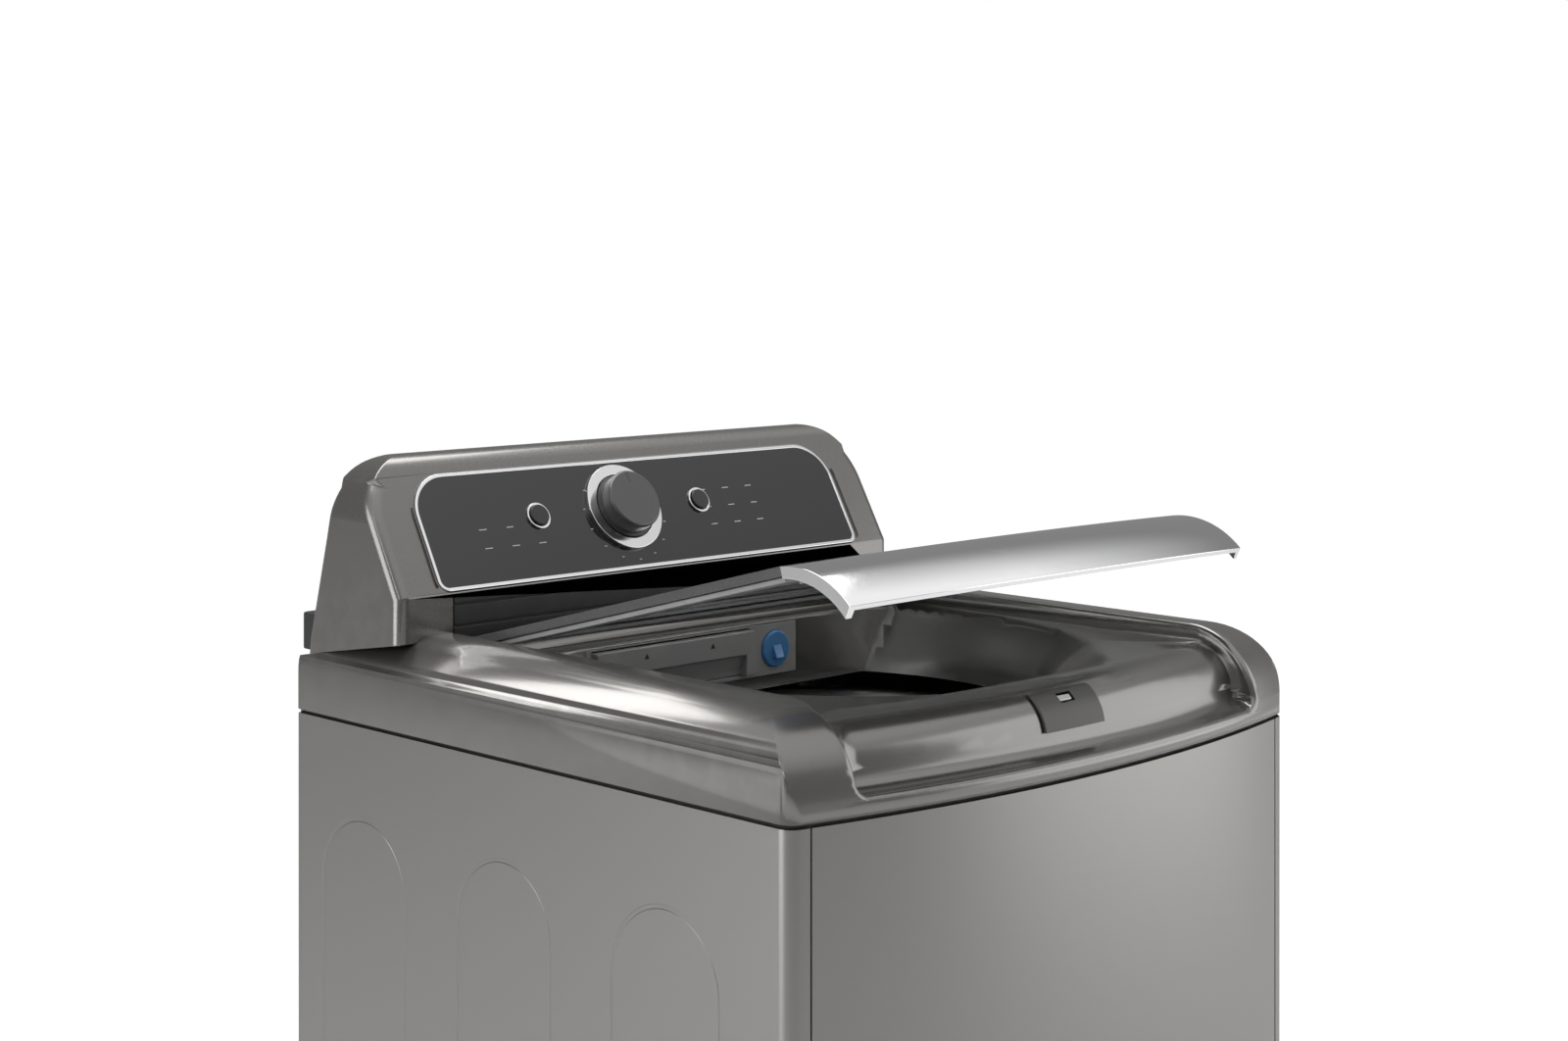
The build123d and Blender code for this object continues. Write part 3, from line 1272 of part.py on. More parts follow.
def suspension_springs():
    """The four coil springs between rod seats and tub lugs."""
    made = []
    height = SPRING_LENGTH - 0.3 - 2 * SPRING_WIRE
    r = SPRING_R - SPRING_WIRE
    for x, y in rod_places():
        coil = Helix(height / SPRING_TURNS, height, r)
        section = Plane(coil @ 0, z_dir=coil % 0) * Circle(SPRING_WIRE)
        made.append(Pos(x, y, spring_low() + SPRING_WIRE) * sweep(section, path=coil, is_frenet=True))
    return Compound(children=made)


def write_parts():
    """Writes each named piece of the machine."""
    made = {
        "left_side_panel": side_panel(-1),
        "right_side_panel": side_panel(1),
        "front_panel": front_panel(),
        "rear_panel": rear_panel(),
        "rear_panel_screws": panel_screws(),
        "base_frame": base_frame(),
        "top_cover": top_cover(),
        "lid_hinge_bushes": hinge_bushes(),
        "latch_bezel": latch_bezel(),
        "lid_lock": lid_lock(),
        "lid_lock_bolt": lock_bolt(),
        "lid_frame": lid_frame(),
        "lid_glass": lid_glass(),
        "lid_inner_frame": lid_inner_frame(),
        "lid_chrome_front": lid_chrome_front(),
        "lid_keeper": lid_keeper(),
        "lid_bumpers": lid_bumpers(),
        "lid_hinge_pins": hinge_pins(),
        "console_housing": console_housing(),
        "console_trim": console_trim(),
        "console_glass": console_glass(),
        "lower_fascia": lower_fascia(),
        "control_board": control_board(),
        "control_rings": control_rings(),
        "cycle_knob": cycle_knob(),
        "power_button": push_button(POWER_X),
        "start_button": push_button(START_X),
        "console_rear_cover": console_rear_cover(),
        "dispenser_housing": dispenser_housing(),
        "dispenser_drawer": dispenser_drawer(),
        "spray_nozzle": spray_nozzle(),
        "bleach_cup": bleach_cup(),
        "inlet_valves": inlet_valves(),
        "fill_hoses": fill_hoses(),
        "drain_pump": drain_pump(),
        "drain_hose": drain_hose(),
        "sump_bellows": sump_bellows(),
        "cord_gland": cord_gland(),
        "outer_tub": outer_tub(),
        "tub_cover": tub_cover(),
        "balance_ring": balance_ring(),
        "wash_basket": wash_basket(),
        "basket_hub": basket_hub(),
        "pulsator": pulsator(),
        "pulsator_bolt": pulsator_bolt(),
        "spin_shaft": spin_shaft(),
        "wash_shaft": wash_shaft(),
        "shaft_bearings": shaft_bearings(),
        "shaft_seal": shaft_seal(),
        "bearing_housing": bearing_housing(),
        "stator": stator(),
        "rotor": rotor(),
        "rotor_nut": rotor_nut(),
        "suspension_brackets": suspension_brackets(),
        "suspension_rods": suspension_rods(),
        "suspension_springs": suspension_springs(),
    }
    for name, (x, y) in zip(FOOT_NAMES, foot_places()):
        made[name] = foot(x, y)
    for name, shape in made.items():
        export_step(shape, f"parts/{name}.step")
        box = shape.bounding_box()
        print(name, round(shape.volume), [round(v) for v in (*box.min, *box.max)])


write_parts()
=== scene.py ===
import json
import math

import bpy
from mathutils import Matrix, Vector


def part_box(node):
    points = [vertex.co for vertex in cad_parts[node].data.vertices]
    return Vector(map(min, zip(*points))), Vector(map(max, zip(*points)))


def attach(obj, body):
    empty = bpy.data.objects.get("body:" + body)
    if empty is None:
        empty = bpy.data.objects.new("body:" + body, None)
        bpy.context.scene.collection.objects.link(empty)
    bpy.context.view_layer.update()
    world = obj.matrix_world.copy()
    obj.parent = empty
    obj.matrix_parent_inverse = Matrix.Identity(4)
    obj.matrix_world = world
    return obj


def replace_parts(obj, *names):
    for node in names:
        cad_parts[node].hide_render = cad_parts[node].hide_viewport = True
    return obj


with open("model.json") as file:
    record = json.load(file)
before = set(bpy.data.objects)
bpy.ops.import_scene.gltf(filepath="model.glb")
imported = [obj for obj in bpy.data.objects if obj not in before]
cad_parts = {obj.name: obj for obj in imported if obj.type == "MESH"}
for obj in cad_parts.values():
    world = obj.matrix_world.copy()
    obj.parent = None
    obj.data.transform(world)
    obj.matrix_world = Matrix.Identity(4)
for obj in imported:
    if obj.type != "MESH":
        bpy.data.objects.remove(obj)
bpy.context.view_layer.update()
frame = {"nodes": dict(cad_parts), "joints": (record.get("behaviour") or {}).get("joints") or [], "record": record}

NODES = frame["nodes"]
RECORD = frame["record"]
BODY_OF = {node: body for body, members in RECORD["behaviour"]["bodies"].items() for node in members}
JOINTS = {joint["name"]: joint for joint in frame["joints"]}


# ---- Bench helpers


def only(piece):
    """Leaves one piece selected and active."""
    bpy.ops.object.select_all(action="DESELECT")
    piece.select_set(True)
    bpy.context.view_layer.objects.active = piece


def settle(piece):
    """Puts a piece's place into its mesh, so that its object sits at the origin."""
    only(piece)
    bpy.ops.object.transform_apply(location=True, rotation=True, scale=True)


def apply_all(piece):
    """Applies every modifier on a piece."""
    only(piece)
    for modifier in list(piece.modifiers):
        bpy.ops.object.modifier_apply(modifier=modifier.name)


def soften(piece, width, segments=2, angle=30.0):
    """Rounds the sharp edges of a piece and applies the rounding."""
    bevel = piece.modifiers.new("rounding", "BEVEL")
    bevel.width = width
    bevel.segments = segments
    bevel.limit_method = "ANGLE"
    bevel.angle_limit = math.radians(angle)
    bevel.harden_normals = False
    bevel.use_clamp_overlap = False
    apply_all(piece)


def smooth(piece, angle=32.0, level=True):
    """Shades a piece smooth, with its sharp edges kept, and its flat faces too unless told otherwise."""
    only(piece)
    bpy.ops.object.shade_smooth_by_angle(angle=math.radians(angle))
    if not level:
        return
    weighted = piece.modifiers.new("flat_faces", "WEIGHTED_NORMAL")
    weighted.keep_sharp = True
    weighted.weight = 60
    apply_all(piece)


def paint(piece, material):
    """Gives the whole piece one material."""
    piece.data.materials.clear()
    piece.data.materials.append(material)
    for face in piece.data.polygons:
        face.material_index = 0


def dress(node, material, rounding=0.0008, segments=2, angle=30.0, shape=None):
    """Rounds and finishes a copy of a CAD node, which then stands for it."""
    source = NODES[node]
    piece = source.copy()
    piece.data = source.data.copy()
    for key in list(piece.keys()):
        del piece[key]
    piece.parent = None
    piece.name = node + "_finished"
    bpy.context.scene.collection.objects.link(piece)
    only(piece)
    bpy.ops.object.mode_set(mode="EDIT")
    bpy.ops.mesh.select_all(action="SELECT")
    bpy.ops.mesh.remove_doubles(threshold=0.00001)
    if rounding:
        bpy.ops.mesh.dissolve_limited(angle_limit=math.radians(0.4))
    if shape:
        shape(piece)
    bpy.ops.object.mode_set(mode="OBJECT")
    if rounding:
        soften(piece, rounding, segments, angle)
    smooth(piece, level=bool(rounding))
    paint(piece, material)
    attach(piece, BODY_OF[node])
    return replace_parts(piece, node)


def bare(node, material):
    """A CAD node that keeps its own shape, with a finish."""
    paint(NODES[node], material)


# ---- Shared effects


def new_group(name, inputs, outputs):
    """An empty node group with named inputs and outputs."""
    group = bpy.data.node_groups.new(name, "ShaderNodeTree")
    for label, kind in inputs:
        group.interface.new_socket(label, in_out="INPUT", socket_type=kind)
    for label, kind in outputs:
        group.interface.new_socket(label, in_out="OUTPUT", socket_type=kind)
    entry = group.nodes.new("NodeGroupInput")
    leave = group.nodes.new("NodeGroupOutput")
    return group, entry, leave


def mixed(tree, factor, first, second, blend="MIX"):
    """A colour mix of two sockets or plain colours."""
    node = tree.nodes.new("ShaderNodeMix")
    node.data_type = "RGBA"
    node.blend_type = blend
    for socket, value in ((node.inputs[0], factor), (node.inputs[6], first), (node.inputs[7], second)):
        if isinstance(value, bpy.types.NodeSocket):
            tree.links.new(value, socket)
        else:
            socket.default_value = value
    return node.outputs[2]


def summed(tree, operation, first, second):
    """A sum or product of two sockets or numbers."""
    node = tree.nodes.new("ShaderNodeMath")
    node.operation = operation
    for socket, value in zip(node.inputs, (first, second)):
        if isinstance(value, bpy.types.NodeSocket):
            tree.links.new(value, socket)
        else:
            socket.default_value = value
    return node.outputs[0]


def ranged(tree, value, low, high, start, end):
    """Maps a socket from one range onto another, held at its ends."""
    node = tree.nodes.new("ShaderNodeMapRange")
    tree.links.new(value, node.inputs[0])
    for socket, number in zip(node.inputs[1:5], (low, high, start, end)):
        if isinstance(number, bpy.types.NodeSocket):
            tree.links.new(number, socket)
        else:
            socket.default_value = number
    return node.outputs[0]


def make_grain():
    """Fine grain or brushing: height and mask from stretched noise."""
    group, entry, leave = new_group("surface_grain", [
        ("Stretch", "NodeSocketVector"), ("Scale", "NodeSocketFloat"), ("Detail", "NodeSocketFloat")],
        [("Height", "NodeSocketFloat"), ("Mask", "NodeSocketFloat")])
    place = group.nodes.new("ShaderNodeTexCoord")
    stretch = group.nodes.new("ShaderNodeMapping")
    noise = group.nodes.new("ShaderNodeTexNoise")
    group.links.new(place.outputs["Object"], stretch.inputs["Vector"])
    group.links.new(entry.outputs["Stretch"], stretch.inputs["Scale"])
    group.links.new(stretch.outputs[0], noise.inputs["Vector"])
    group.links.new(entry.outputs["Scale"], noise.inputs["Scale"])
    group.links.new(entry.outputs["Detail"], noise.inputs["Detail"])
    group.links.new(noise.outputs[0], leave.inputs["Height"])
    group.links.new(ranged(group, noise.outputs[0], 0.3, 0.7, 0.0, 1.0), leave.inputs["Mask"])
    return group


def make_drift():
    """Slow change of tone over a surface, with a film of dust on what faces up."""
    group, entry, leave = new_group("tone_drift", [
        ("Color", "NodeSocketColor"), ("Scale", "NodeSocketFloat"), ("Amount", "NodeSocketFloat"),
        ("Dust", "NodeSocketFloat")], [("Color", "NodeSocketColor"), ("Haze", "NodeSocketFloat")])
    place = group.nodes.new("ShaderNodeTexCoord")
    noise = group.nodes.new("ShaderNodeTexNoise")
    noise.inputs["Detail"].default_value = 3.0
    group.links.new(place.outputs["Object"], noise.inputs["Vector"])
    group.links.new(entry.outputs["Scale"], noise.inputs["Scale"])
    shade = ranged(group, noise.outputs[0], 0.3, 0.7, 0.0, 1.0)
    amount = summed(group, "MULTIPLY", shade, entry.outputs["Amount"])
    darker = mixed(group, amount, entry.outputs["Color"], (0.0, 0.0, 0.0, 1.0))
    surface = group.nodes.new("ShaderNodeNewGeometry")
    split = group.nodes.new("ShaderNodeSeparateXYZ")
    group.links.new(surface.outputs["Normal"], split.inputs[0])
    up = ranged(group, split.outputs["Z"], 0.6, 1.0, 0.0, 1.0)
    specks = group.nodes.new("ShaderNodeTexNoise")
    specks.inputs["Scale"].default_value = 90.0
    specks.inputs["Detail"].default_value = 6.0
    group.links.new(place.outputs["Object"], specks.inputs["Vector"])
    film = summed(group, "MULTIPLY", up, ranged(group, specks.outputs[0], 0.45, 0.75, 0.1, 1.0))
    film = summed(group, "MULTIPLY", film, entry.outputs["Dust"])
    group.links.new(mixed(group, film, darker, (0.55, 0.54, 0.52, 1.0)), leave.inputs["Color"])
    group.links.new(film, leave.inputs["Haze"])
    return group


def make_wear():
    """Light rubbing along edges, broken up by noise."""
    group, entry, leave = new_group("edge_wear", [
        ("Color", "NodeSocketColor"), ("Worn", "NodeSocketColor"), ("Amount", "NodeSocketFloat")],
        [("Color", "NodeSocketColor"), ("Mask", "NodeSocketFloat")])
    surface = group.nodes.new("ShaderNodeNewGeometry")
    place = group.nodes.new("ShaderNodeTexCoord")
    noise = group.nodes.new("ShaderNodeTexNoise")
    noise.inputs["Scale"].default_value = 60.0
    noise.inputs["Detail"].default_value = 5.0
    group.links.new(place.outputs["Object"], noise.inputs["Vector"])
    edge = ranged(group, surface.outputs["Pointiness"], 0.515, 0.58, 0.0, 1.0)
    patch = ranged(group, noise.outputs[0], 0.4, 0.65, 0.0, 1.0)
    mask = summed(group, "MULTIPLY", summed(group, "MULTIPLY", edge, patch), entry.outputs["Amount"])
    group.links.new(mixed(group, mask, entry.outputs["Color"], entry.outputs["Worn"]), leave.inputs["Color"])
    group.links.new(mask, leave.inputs["Mask"])
    return group


GRAIN = make_grain()
DRIFT = make_drift()
WEAR = make_wear()


def placed(tree, group, **values):
    """A shared effect placed in a material with its own values."""
    node = tree.nodes.new("ShaderNodeGroup")
    node.node_tree = group
    for label, value in values.items():
        if isinstance(value, bpy.types.NodeSocket):
            tree.links.new(value, node.inputs[label])
        else:
            node.inputs[label].default_value = value
    return node


def finish(name, color, rough, metal=0.0, coat=0.0, coat_rough=0.08, grain=300.0, stretch=(1, 1, 1),
           bump=0.08, depth=0.0002, drift=0.12, drift_scale=5.0, dust=0.04, wear=0.15, rough_change=0.1,
           **extra):
    """A procedural finish: toned base, grain in bump and roughness, edge wear and dust."""
    material = bpy.data.materials.new(name)
    material.use_nodes = True
    tree = material.node_tree
    shader = tree.nodes["Principled BSDF"]
    tone = placed(tree, DRIFT, Color=(*color, 1.0), Scale=drift_scale, Amount=drift, Dust=dust)
    light = tuple(min(1.0, 1.7 * c + 0.03) for c in color)
    rubbed = placed(tree, WEAR, Color=tone.outputs["Color"], Worn=(*light, 1.0), Amount=wear)
    tree.links.new(rubbed.outputs["Color"], shader.inputs["Base Color"])
    fine = placed(tree, GRAIN, Stretch=stretch, Scale=grain, Detail=4.0)
    spread = ranged(tree, fine.outputs["Mask"], 0.0, 1.0, rough - rough_change / 2, rough + rough_change / 2)
    hazed = summed(tree, "ADD", spread, summed(tree, "MULTIPLY", tone.outputs["Haze"], 0.5))
    tree.links.new(hazed, shader.inputs["Roughness"])
    relief = tree.nodes.new("ShaderNodeBump")
    relief.inputs["Strength"].default_value = bump
    relief.inputs["Distance"].default_value = depth
    tree.links.new(fine.outputs["Height"], relief.inputs["Height"])
    tree.links.new(relief.outputs[0], shader.inputs["Normal"])
    shader.inputs["Metallic"].default_value = metal
    shader.inputs["Coat Weight"].default_value = coat
    shader.inputs["Coat Roughness"].default_value = coat_rough
    for label, value in extra.items():
        shader.inputs[label.replace("_", " ")].default_value = value
    return material


ALONG = (0.25, 0.25, 1.0)  # brushing that runs level round the cabinet
steel_skin = finish("graphite_steel", (0.27, 0.263, 0.254), 0.34, metal=0.9, grain=900.0, stretch=ALONG,
                    bump=0.01,
                    depth=0.0001, drift=0.02, drift_scale=1.5, rough_change=0.02, dust=0.0, wear=0.0)
cover_skin = finish("graphite_moulding", (0.215, 0.209, 0.200), 0.24, metal=0.8, coat=0.3, grain=1400.0,
                    bump=0.03,
                    depth=0.0001, drift=0.02, drift_scale=2.0, rough_change=0.04, dust=0.0)
console_skin = finish("console_moulding", (0.19, 0.184, 0.176), 0.26, metal=0.8, coat=0.3, grain=1400.0,
                      bump=0.03,
                      depth=0.0001, drift=0.02, drift_scale=2.0, rough_change=0.04, dust=0.0)
deck_grey = finish("latch_grey", (0.085, 0.083, 0.08), 0.38, metal=0.4, grain=1200.0, bump=0.06, dust=0.0)
black_moulding = finish("black_moulding", (0.018, 0.018, 0.019), 0.42, grain=1500.0, bump=0.2, dust=0.03)
grey_moulding = finish("grey_moulding", (0.42, 0.412, 0.40), 0.40, grain=1300.0, bump=0.12, dust=0.02)
white_moulding = finish("white_moulding", (0.72, 0.73, 0.74), 0.45, grain=700.0, bump=0.12, drift=0.08)
lid_shell = finish("lid_dark_grey", (0.085, 0.085, 0.085), 0.30, metal=0.3, coat=0.3, grain=1300.0, bump=0.06)
lid_lining = finish("lid_lining_grey", (0.30, 0.30, 0.30), 0.42, grain=1100.0, bump=0.12)
pane_black = finish("control_pane_black", (0.006, 0.006, 0.007), 0.09, coat=0.6, coat_rough=0.03, grain=600.0,
                    bump=0.01, dust=0.02, rough_change=0.04, wear=0.0)
chrome = finish("bright_chrome", (0.86, 0.86, 0.87), 0.09, metal=1.0, grain=500.0, bump=0.015, drift=0.03,
                rough_change=0.05, dust=0.0, wear=0.0)
blue_moulding = finish("clear_blue", (0.10, 0.34, 0.72), 0.30, coat=0.3, grain=900.0, bump=0.06, dust=0.02,
                       Subsurface_Weight=0.15, Subsurface_Scale=0.004)
ring_blue_grey = finish("ring_blue_grey", (0.17, 0.19, 0.23), 0.38, grain=900.0, bump=0.1)
stainless = finish("drum_stainless", (0.60, 0.60, 0.61), 0.26, metal=1.0, grain=700.0, stretch=(1, 1,
                   0.03), bump=0.1)
zinc = finish("zinc_plated", (0.52, 0.52, 0.50), 0.36, metal=1.0, grain=240.0, bump=0.2, drift=0.25,
              drift_scale=24.0)
cast_metal = finish("cast_aluminium", (0.50, 0.51, 0.52), 0.48, metal=1.0, grain=420.0, bump=0.5, drift=0.2)
rubber = finish("soft_rubber", (0.022, 0.022, 0.022), 0.72, grain=800.0, bump=0.35, dust=0.15, drift=0.2)
bumper_rubber = finish("clear_bumper", (0.50, 0.50, 0.49), 0.5, grain=700.0, bump=0.15, Subsurface_Weight=0.3)
board_green = finish("board_green", (0.015, 0.13, 0.05), 0.35, coat=0.3, grain=260.0, bump=0.15, drift=0.25)
copper_winding = finish("copper_winding", (0.44, 0.18, 0.07), 0.40, metal=0.6, grain=320.0, stretch=(1, 1,
                        6.0),
                        bump=0.5, drift=0.25, drift_scale=30.0)
mark_grey = finish("mark_grey", (0.45, 0.45, 0.45), 0.40, grain=1200.0, bump=0.05, dust=0.0, wear=0.0)
base_moulding = finish("base_moulding", (0.035, 0.035, 0.038), 0.55, grain=600.0, bump=0.3, dust=0.12)


def make_pane():
    """Clear tempered glass with a faint grey tint, finger haze and a soft surface ripple."""
    material = bpy.data.materials.new("lid_pane_clear")
    material.use_nodes = True
    tree = material.node_tree
    shader = tree.nodes["Principled BSDF"]
    haze = placed(tree, GRAIN, Stretch=(1, 1, 1), Scale=14.0, Detail=6.0)
    tree.links.new(ranged(tree, haze.outputs["Mask"], 0.0, 1.0, 0.015, 0.06), shader.inputs["Roughness"])
    tone = placed(tree, DRIFT, Color=(0.62, 0.63, 0.63, 1.0), Scale=3.0, Amount=0.05, Dust=0.0)
    tree.links.new(tone.outputs["Color"], shader.inputs["Base Color"])
    ripple = tree.nodes.new("ShaderNodeBump")
    ripple.inputs["Strength"].default_value = 0.02
    ripple.inputs["Distance"].default_value = 0.0005
    tree.links.new(haze.outputs["Height"], ripple.inputs["Height"])
    tree.links.new(ripple.outputs[0], shader.inputs["Normal"])
    shader.inputs["Transmission Weight"].default_value = 1.0
    shader.inputs["IOR"].default_value = 1.45
    return material


lid_glass_clear = make_pane()


# ---- Carried-over pieces

CONSOLE_END_ROUND = 0.012
CONSOLE_FOOT = 0.028  # the ends stay square below this height
PANE_MARGIN = 0.005


def console_ends(piece):
    """Rounds the whole outer edge round each end of the console."""
    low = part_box("console_housing")[0]
    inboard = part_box("console_glass")[1].x + PANE_MARGIN
    bpy.ops.mesh.select_mode(type="EDGE")
    bpy.ops.mesh.select_all(action="DESELECT")
    bpy.ops.object.mode_set(mode="OBJECT")
    neighbours = {}
    for face in piece.data.polygons:
        for key in face.edge_keys:
            neighbours.setdefault(key, []).append(face)
    points = piece.data.vertices
    for edge in piece.data.edges:
        faces = sorted(neighbours.get(edge.key, []), key=lambda face: -abs(face.normal.x))
        middle = (points[edge.vertices[0]].co + points[edge.vertices[1]].co) / 2
        if len(faces) != 2 or abs(middle.x) < inboard or middle.z < low.z + CONSOLE_FOOT:
            continue
        end, wrap = faces
        outward = (wrap.center - middle).dot(end.normal) < 0 and end.normal.x * middle.x > 0
        edge.select = outward and abs(end.normal.x) > 0.8 and abs(wrap.normal.x) < 0.3
    bpy.ops.object.mode_set(mode="EDIT")
    bpy.ops.mesh.bevel(offset=CONSOLE_END_ROUND, segments=6, affect="EDGES", clamp_overlap=False)


SHAPED = {"console_housing": console_ends}

SKINS = {
    steel_skin: ("left_side_panel", "right_side_panel", "front_panel", "rear_panel"),
    zinc: ("rear_panel_screws", "lid_lock_bolt", "lid_keeper", "lid_hinge_pins", "pulsator_bolt",
           "spin_shaft", "wash_shaft", "shaft_bearings", "rotor", "rotor_nut", "suspension_brackets",
           "suspension_rods", "suspension_springs"),
    base_moulding: ("base_frame",),
    cover_skin: ("top_cover",),
    console_skin: ("console_housing",),
    black_moulding: ("lid_hinge_bushes", "lid_lock", "lower_fascia", "power_button", "start_button",
                     "console_rear_cover", "drain_pump", "cord_gland"),
    deck_grey: ("latch_bezel",),
    lid_shell: ("lid_frame", "cycle_knob"),
    lid_glass_clear: ("lid_glass",),
    lid_lining: ("lid_inner_frame",),
    chrome: ("lid_chrome_front", "console_trim", "control_rings"),
    bumper_rubber: ("lid_bumpers",),
    pane_black: ("console_glass",),
    board_green: ("control_board",),
    grey_moulding: ("dispenser_housing", "dispenser_drawer", "tub_cover", "pulsator"),
    blue_moulding: ("spray_nozzle", "bleach_cup", "inlet_valves"),
    rubber: ("fill_hoses", "drain_hose", "sump_bellows", "shaft_seal", "foot_front_left", "foot_front_right",
             "foot_rear_left", "foot_rear_right"),
    white_moulding: ("outer_tub",),
    ring_blue_grey: ("balance_ring",),
    stainless: ("wash_basket",),
    cast_metal: ("basket_hub", "bearing_housing"),
    copper_winding: ("stator",),
}
ROUNDED = {
    "top_cover": (0.0, 1, 30.0),
    "console_housing": (0.0012, 3, 24.0),
    "front_panel": (0.0008, 2, 30.0),
    "left_side_panel": (0.0004, 2, 30.0),
    "right_side_panel": (0.0004, 2, 30.0),
    "lid_frame": (0.0008, 2, 30.0),
    "lid_inner_frame": (0.0012, 2, 30.0),
    "lid_chrome_front": (0.0005, 2, 30.0),
    "latch_bezel": (0.0003, 2, 30.0),
    "console_trim": (0.0006, 2, 30.0),
    "console_glass": (0.0005, 2, 30.0),
    "control_rings": (0.0006, 2, 30.0),
    "cycle_knob": (0.0006, 2, 30.0),
    "power_button": (0.0008, 3, 30.0),
    "start_button": (0.0008, 3, 30.0),
    "dispenser_housing": (0.0008, 2, 30.0),
    "dispenser_drawer": (0.001, 3, 30.0),
    "spray_nozzle": (0.001, 2, 30.0),
    "bleach_cup": (0.001, 2, 30.0),
    "tub_cover": (0.001, 2, 30.0),
    "balance_ring": (0.001, 2, 30.0),
    "pulsator": (0.001, 2, 30.0),
    "console_rear_cover": (0.0015, 2, 30.0),
    "base_frame": (0.0015, 2, 30.0),
    "wash_basket": (0.0, 1, 30.0),
    "outer_tub": (0.0, 1, 30.0),
    "inlet_valves": (0.0008, 2, 30.0),
    "fill_hoses": (0.0, 1, 30.0),
    "drain_hose": (0.0, 1, 30.0),
    "sump_bellows": (0.0, 1, 30.0),
    "drain_pump": (0.001, 2, 30.0),
    "cord_gland": (0.0008, 2, 30.0),
    "suspension_rods": (0.0, 1, 30.0),
    "suspension_springs": (0.0, 1, 30.0),
    "foot_front_left": (0.001, 2, 30.0),
    "foot_front_right": (0.001, 2, 30.0),
    "foot_rear_left": (0.001, 2, 30.0),
    "foot_rear_right": (0.001, 2, 30.0),
    "rear_panel": (0.0004, 2, 30.0),
    "rear_panel_screws": (0.0003, 2, 30.0),
    "lid_hinge_pins": (0.0005, 2, 30.0),
    "lid_bumpers": (0.0008, 3, 30.0),
    "lower_fascia": (0.0006, 2, 30.0),
}
for skin, members in SKINS.items():
    for member in members:
        if member in ROUNDED:
            dress(member, skin, *ROUNDED[member], shape=SHAPED.get(member))
        else:
            bare(member, skin)


# ---- Small made pieces


def strip(name, centre, size, turn=0.0, edge=0.00015):
    """A thin bar with softened edges, turned about the machine's width."""
    bpy.ops.object.select_all(action="DESELECT")
    bpy.ops.mesh.primitive_cube_add(size=1.0, location=centre, rotation=(turn, 0.0, 0.0), scale=size)
    piece = bpy.context.object
    piece.name = name
    settle(piece)
    bpy.ops.object.mode_set(mode="EDIT")
    bpy.ops.mesh.select_all(action="SELECT")
    bpy.ops.mesh.bevel(offset=min(edge, 0.45 * min(size)), segments=2, affect="EDGES")
    bpy.ops.object.mode_set(mode="OBJECT")
    return piece


def gather(name, pieces, node, material):
    """Joins pieces into one, which rides and is finished with a node's body."""
    bpy.ops.object.select_all(action="DESELECT")
    for piece in pieces:
        piece.select_set(True)
    bpy.context.view_layer.objects.active = pieces[0]
    bpy.ops.object.join()
    whole = bpy.context.object
    whole.name = name
    smooth(whole)
    paint(whole, material)
    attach(whole, BODY_OF[node])
    return whole


TICK = (0.0030, 0.0005, 0.0012)
TICK_GAP = 0.017  # from the selector's rim out to the ticks
TICK_COUNT, TICK_START, TICK_STEP = 11, -125.0, 25.0  # degrees from upright
TOUCH_MARK = (0.009, 0.0005, 0.0011)
TOUCH_START, TOUCH_PITCH, TOUCH_TOP, TOUCH_DROP = 0.118, 0.034, 0.022, 0.020
TOUCH_ROWS = ((-1, 2), (1, 3))  # side of the selector and number of rows
PANE_EDGE = 0.02
FACE_OUT = Vector(JOINTS["power_press"]["axis"]).normalized() * -1.0


def console_marks():
    """Plain ticks round the selector and rows of short touch marks beside it."""
    low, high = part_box("console_glass")
    knob_low, knob_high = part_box("cycle_knob")
    across_knob = (knob_low.x + knob_high.x) / 2
    up_slope = FACE_OUT.cross(Vector((-1.0, 0.0, 0.0)))
    lean = math.atan2(FACE_OUT.z, -FACE_OUT.y)
    height = max(FACE_OUT.dot(point.co) for point in NODES["console_glass"].data.vertices)
    middle = (low + high) / 2
    middle += FACE_OUT * (height - FACE_OUT.dot(middle))
    reach = (knob_high.x - knob_low.x) / 2 + TICK_GAP
    marks = []

    def on_face(x, up):
        spot = middle + up_slope * up
        return Vector((x, spot.y, spot.z))

    for step in range(TICK_COUNT):
        turn = math.radians(TICK_START + TICK_STEP * step)
        spot = on_face(across_knob + reach * math.sin(turn), reach * math.cos(turn))
        marks.append(strip("tick", spot, TICK, -lean))
    for side, rows in TOUCH_ROWS:
        for row in range(rows):
            for column in range(3):
                x = across_knob + side * (TOUCH_START + TOUCH_PITCH * column)
                if low.x + PANE_EDGE < x < high.x - PANE_EDGE:
                    spot = on_face(x, TOUCH_TOP - TOUCH_DROP * row)
                    marks.append(strip("touch", spot, TOUCH_MARK, -lean))
    return gather("console_touch_marks", marks, "console_glass", mark_grey)


POINTER_PLACES = (0.30, 0.72)  # shares of the drawer's width
POINTER_HEIGHT = 0.78
POINTER_R, POINTER_T = 0.0036, 0.0006


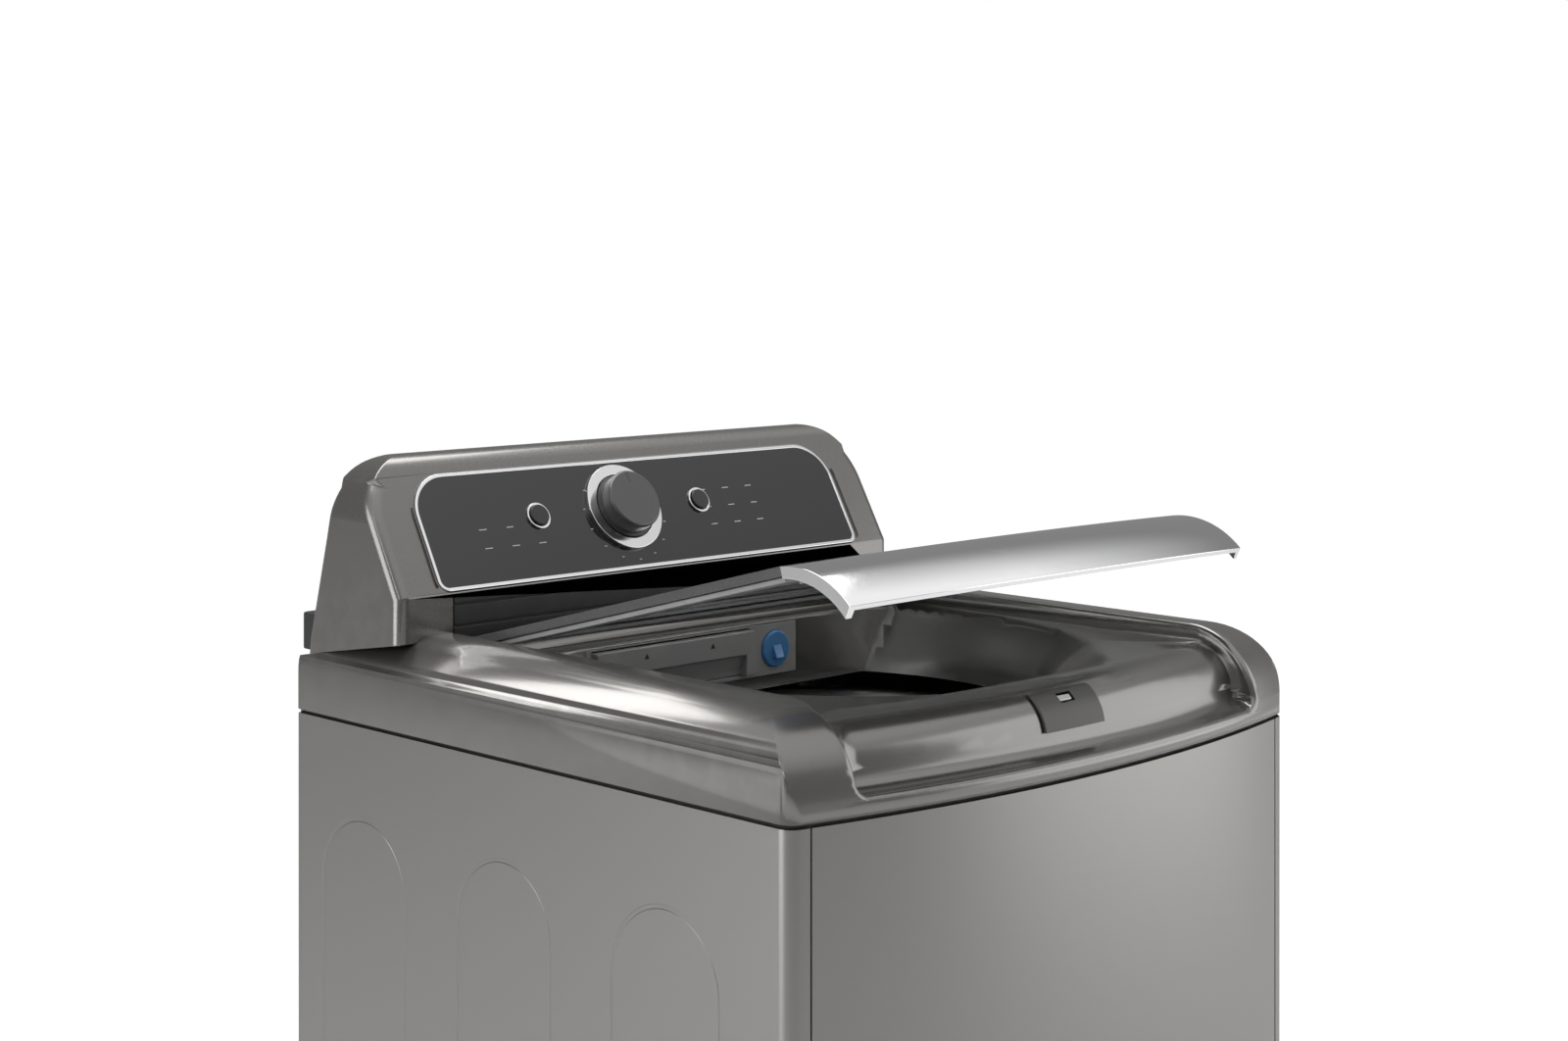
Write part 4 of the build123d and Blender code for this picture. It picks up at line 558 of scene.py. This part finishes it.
def drawer_marks():
    """Two small dark pointers on the drawer's front."""
    low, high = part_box("dispenser_drawer")
    pointers = []
    for share in POINTER_PLACES:
        bpy.ops.object.select_all(action="DESELECT")
        spot = (low.x + share * (high.x - low.x), low.y, low.z + POINTER_HEIGHT * (high.z - low.z))
        bpy.ops.mesh.primitive_cylinder_add(vertices=3, radius=POINTER_R, depth=POINTER_T, location=spot,
                                            rotation=(math.radians(90.0), 0.0, 0.0))
        pointer = bpy.context.object
        settle(pointer)
        bpy.ops.object.mode_set(mode="EDIT")
        bpy.ops.mesh.select_all(action="SELECT")
        bpy.ops.mesh.bevel(offset=0.0002, segments=2, affect="EDGES")
        bpy.ops.object.mode_set(mode="OBJECT")
        pointers.append(pointer)
    return gather("drawer_pointers", pointers, "dispenser_drawer", black_moulding)


RIB_COUNT, RIB_START, RIB_PITCH, RIB_END_GAP = 4, 0.012, 0.006, 0.012
RIB_WIDE, RIB_HIGH, RIB_PROUD, RIB_EDGE = 0.0022, 0.0014, 0.0002, 0.0005


def ledge_ribs():
    """Fine raised ribs along the ledge behind the drawer."""
    low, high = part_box("dispenser_housing")
    ribs = []
    long = high.x - low.x - RIB_END_GAP
    for count in range(RIB_COUNT):
        spot = ((low.x + high.x) / 2, low.y + RIB_START + RIB_PITCH * count, high.z + RIB_PROUD)
        ribs.append(strip("rib", spot, (long, RIB_WIDE, RIB_HIGH), 0.0, RIB_EDGE))
    return gather("dispenser_ledge_ribs", ribs, "dispenser_housing", grey_moulding)


console_marks()
drawer_marks()
ledge_ribs()


# ---- Stage, light and camera


def make_floor():
    """A wide, plain pale floor."""
    bpy.ops.mesh.primitive_circle_add(vertices=96, radius=14.0, fill_type="NGON", location=(0, 0, 0))
    floor = bpy.context.object
    floor.name = "studio_floor"
    material = bpy.data.materials.new("studio_floor_pale")
    material.use_nodes = True
    tree = material.node_tree
    shader = tree.nodes["Principled BSDF"]
    shader.inputs["Base Color"].default_value = (0.80, 0.80, 0.80, 1.0)
    shader.inputs["Roughness"].default_value = 0.8
    pale = tree.nodes.new("ShaderNodeEmission")
    pale.inputs["Strength"].default_value = 0.55
    seen = tree.nodes.new("ShaderNodeLightPath")
    lifted = tree.nodes.new("ShaderNodeAddShader")
    choose = tree.nodes.new("ShaderNodeMixShader")
    tree.links.new(shader.outputs[0], lifted.inputs[0])
    tree.links.new(pale.outputs[0], lifted.inputs[1])
    tree.links.new(seen.outputs["Is Camera Ray"], choose.inputs[0])
    tree.links.new(shader.outputs[0], choose.inputs[1])
    tree.links.new(lifted.outputs[0], choose.inputs[2])
    tree.links.new(choose.outputs[0], tree.nodes["Material Output"].inputs[0])
    floor.data.materials.append(material)


def soft_light(name, place, target, wide, high, power):
    """A large soft panel of light aimed at a point."""
    data = bpy.data.lights.new(name, "AREA")
    data.shape = "RECTANGLE"
    data.size = wide
    data.size_y = high
    data.energy = power
    lamp = bpy.data.objects.new(name, data)
    lamp.location = place
    lamp.rotation_euler = (Vector(target) - Vector(place)).to_track_quat("-Z", "Y").to_euler()
    lamp.visible_camera = False
    bpy.context.scene.collection.objects.link(lamp)


def make_studio():
    """White surroundings for the eye, a darker room for reflections, and three soft panels."""
    world = bpy.data.worlds.new("studio")
    bpy.context.scene.world = world
    world.use_nodes = True
    tree = world.node_tree
    room = tree.nodes["Background"]
    place = tree.nodes.new("ShaderNodeTexCoord")
    split = tree.nodes.new("ShaderNodeSeparateXYZ")
    tree.links.new(place.outputs["Generated"], split.inputs[0])
    height = ranged(tree, split.outputs["Z"], 0.40, 0.68, 0.0, 1.0)
    height = summed(tree, "MULTIPLY", height, ranged(tree, split.outputs["Y"], -0.1, 0.5, 1.0, 0.0))
    tree.links.new(mixed(tree, height, (0.24, 0.24, 0.24, 1.0), (1.0, 1.0, 1.0, 1.0)), room.inputs["Color"])
    white = tree.nodes.new("ShaderNodeBackground")
    white.inputs["Color"].default_value = (1.0, 1.0, 1.0, 1.0)
    seen = tree.nodes.new("ShaderNodeLightPath")
    choose = tree.nodes.new("ShaderNodeMixShader")
    tree.links.new(seen.outputs["Is Camera Ray"], choose.inputs[0])
    tree.links.new(room.outputs[0], choose.inputs[1])
    tree.links.new(white.outputs[0], choose.inputs[2])
    tree.links.new(choose.outputs[0], tree.nodes["World Output"].inputs[0])
    soft_light("left_panel", (-3.6, 0.9, 1.5), (0, 0, 0.7), 2.0, 3.0, 60)
    soft_light("right_panel", (2.8, -2.2, 1.3), (0, 0, 0.7), 2.6, 3.0, 38)
    soft_light("top_panel", (0.2, 0.6, 3.4), (0, 0, 0.9), 2.6, 1.6, 60)


def make_camera():
    """A level camera at the front left, shifted as a tall-camera view is."""
    data = bpy.data.cameras.new("front_left_view")
    data.lens = 56.71
    data.sensor_width = 36.0
    data.shift_x = 0.0331
    data.shift_y = -0.1796
    camera = bpy.data.objects.new("front_left_view", data)
    camera.location = (-1.7199, -1.69365, 1.3405)
    camera.rotation_euler = (math.radians(90.0), 0.0, math.radians(-43.89))
    bpy.context.scene.collection.objects.link(camera)
    bpy.context.scene.camera = camera


make_floor()
make_studio()
make_camera()
bpy.context.scene.view_settings.view_transform = "Standard"
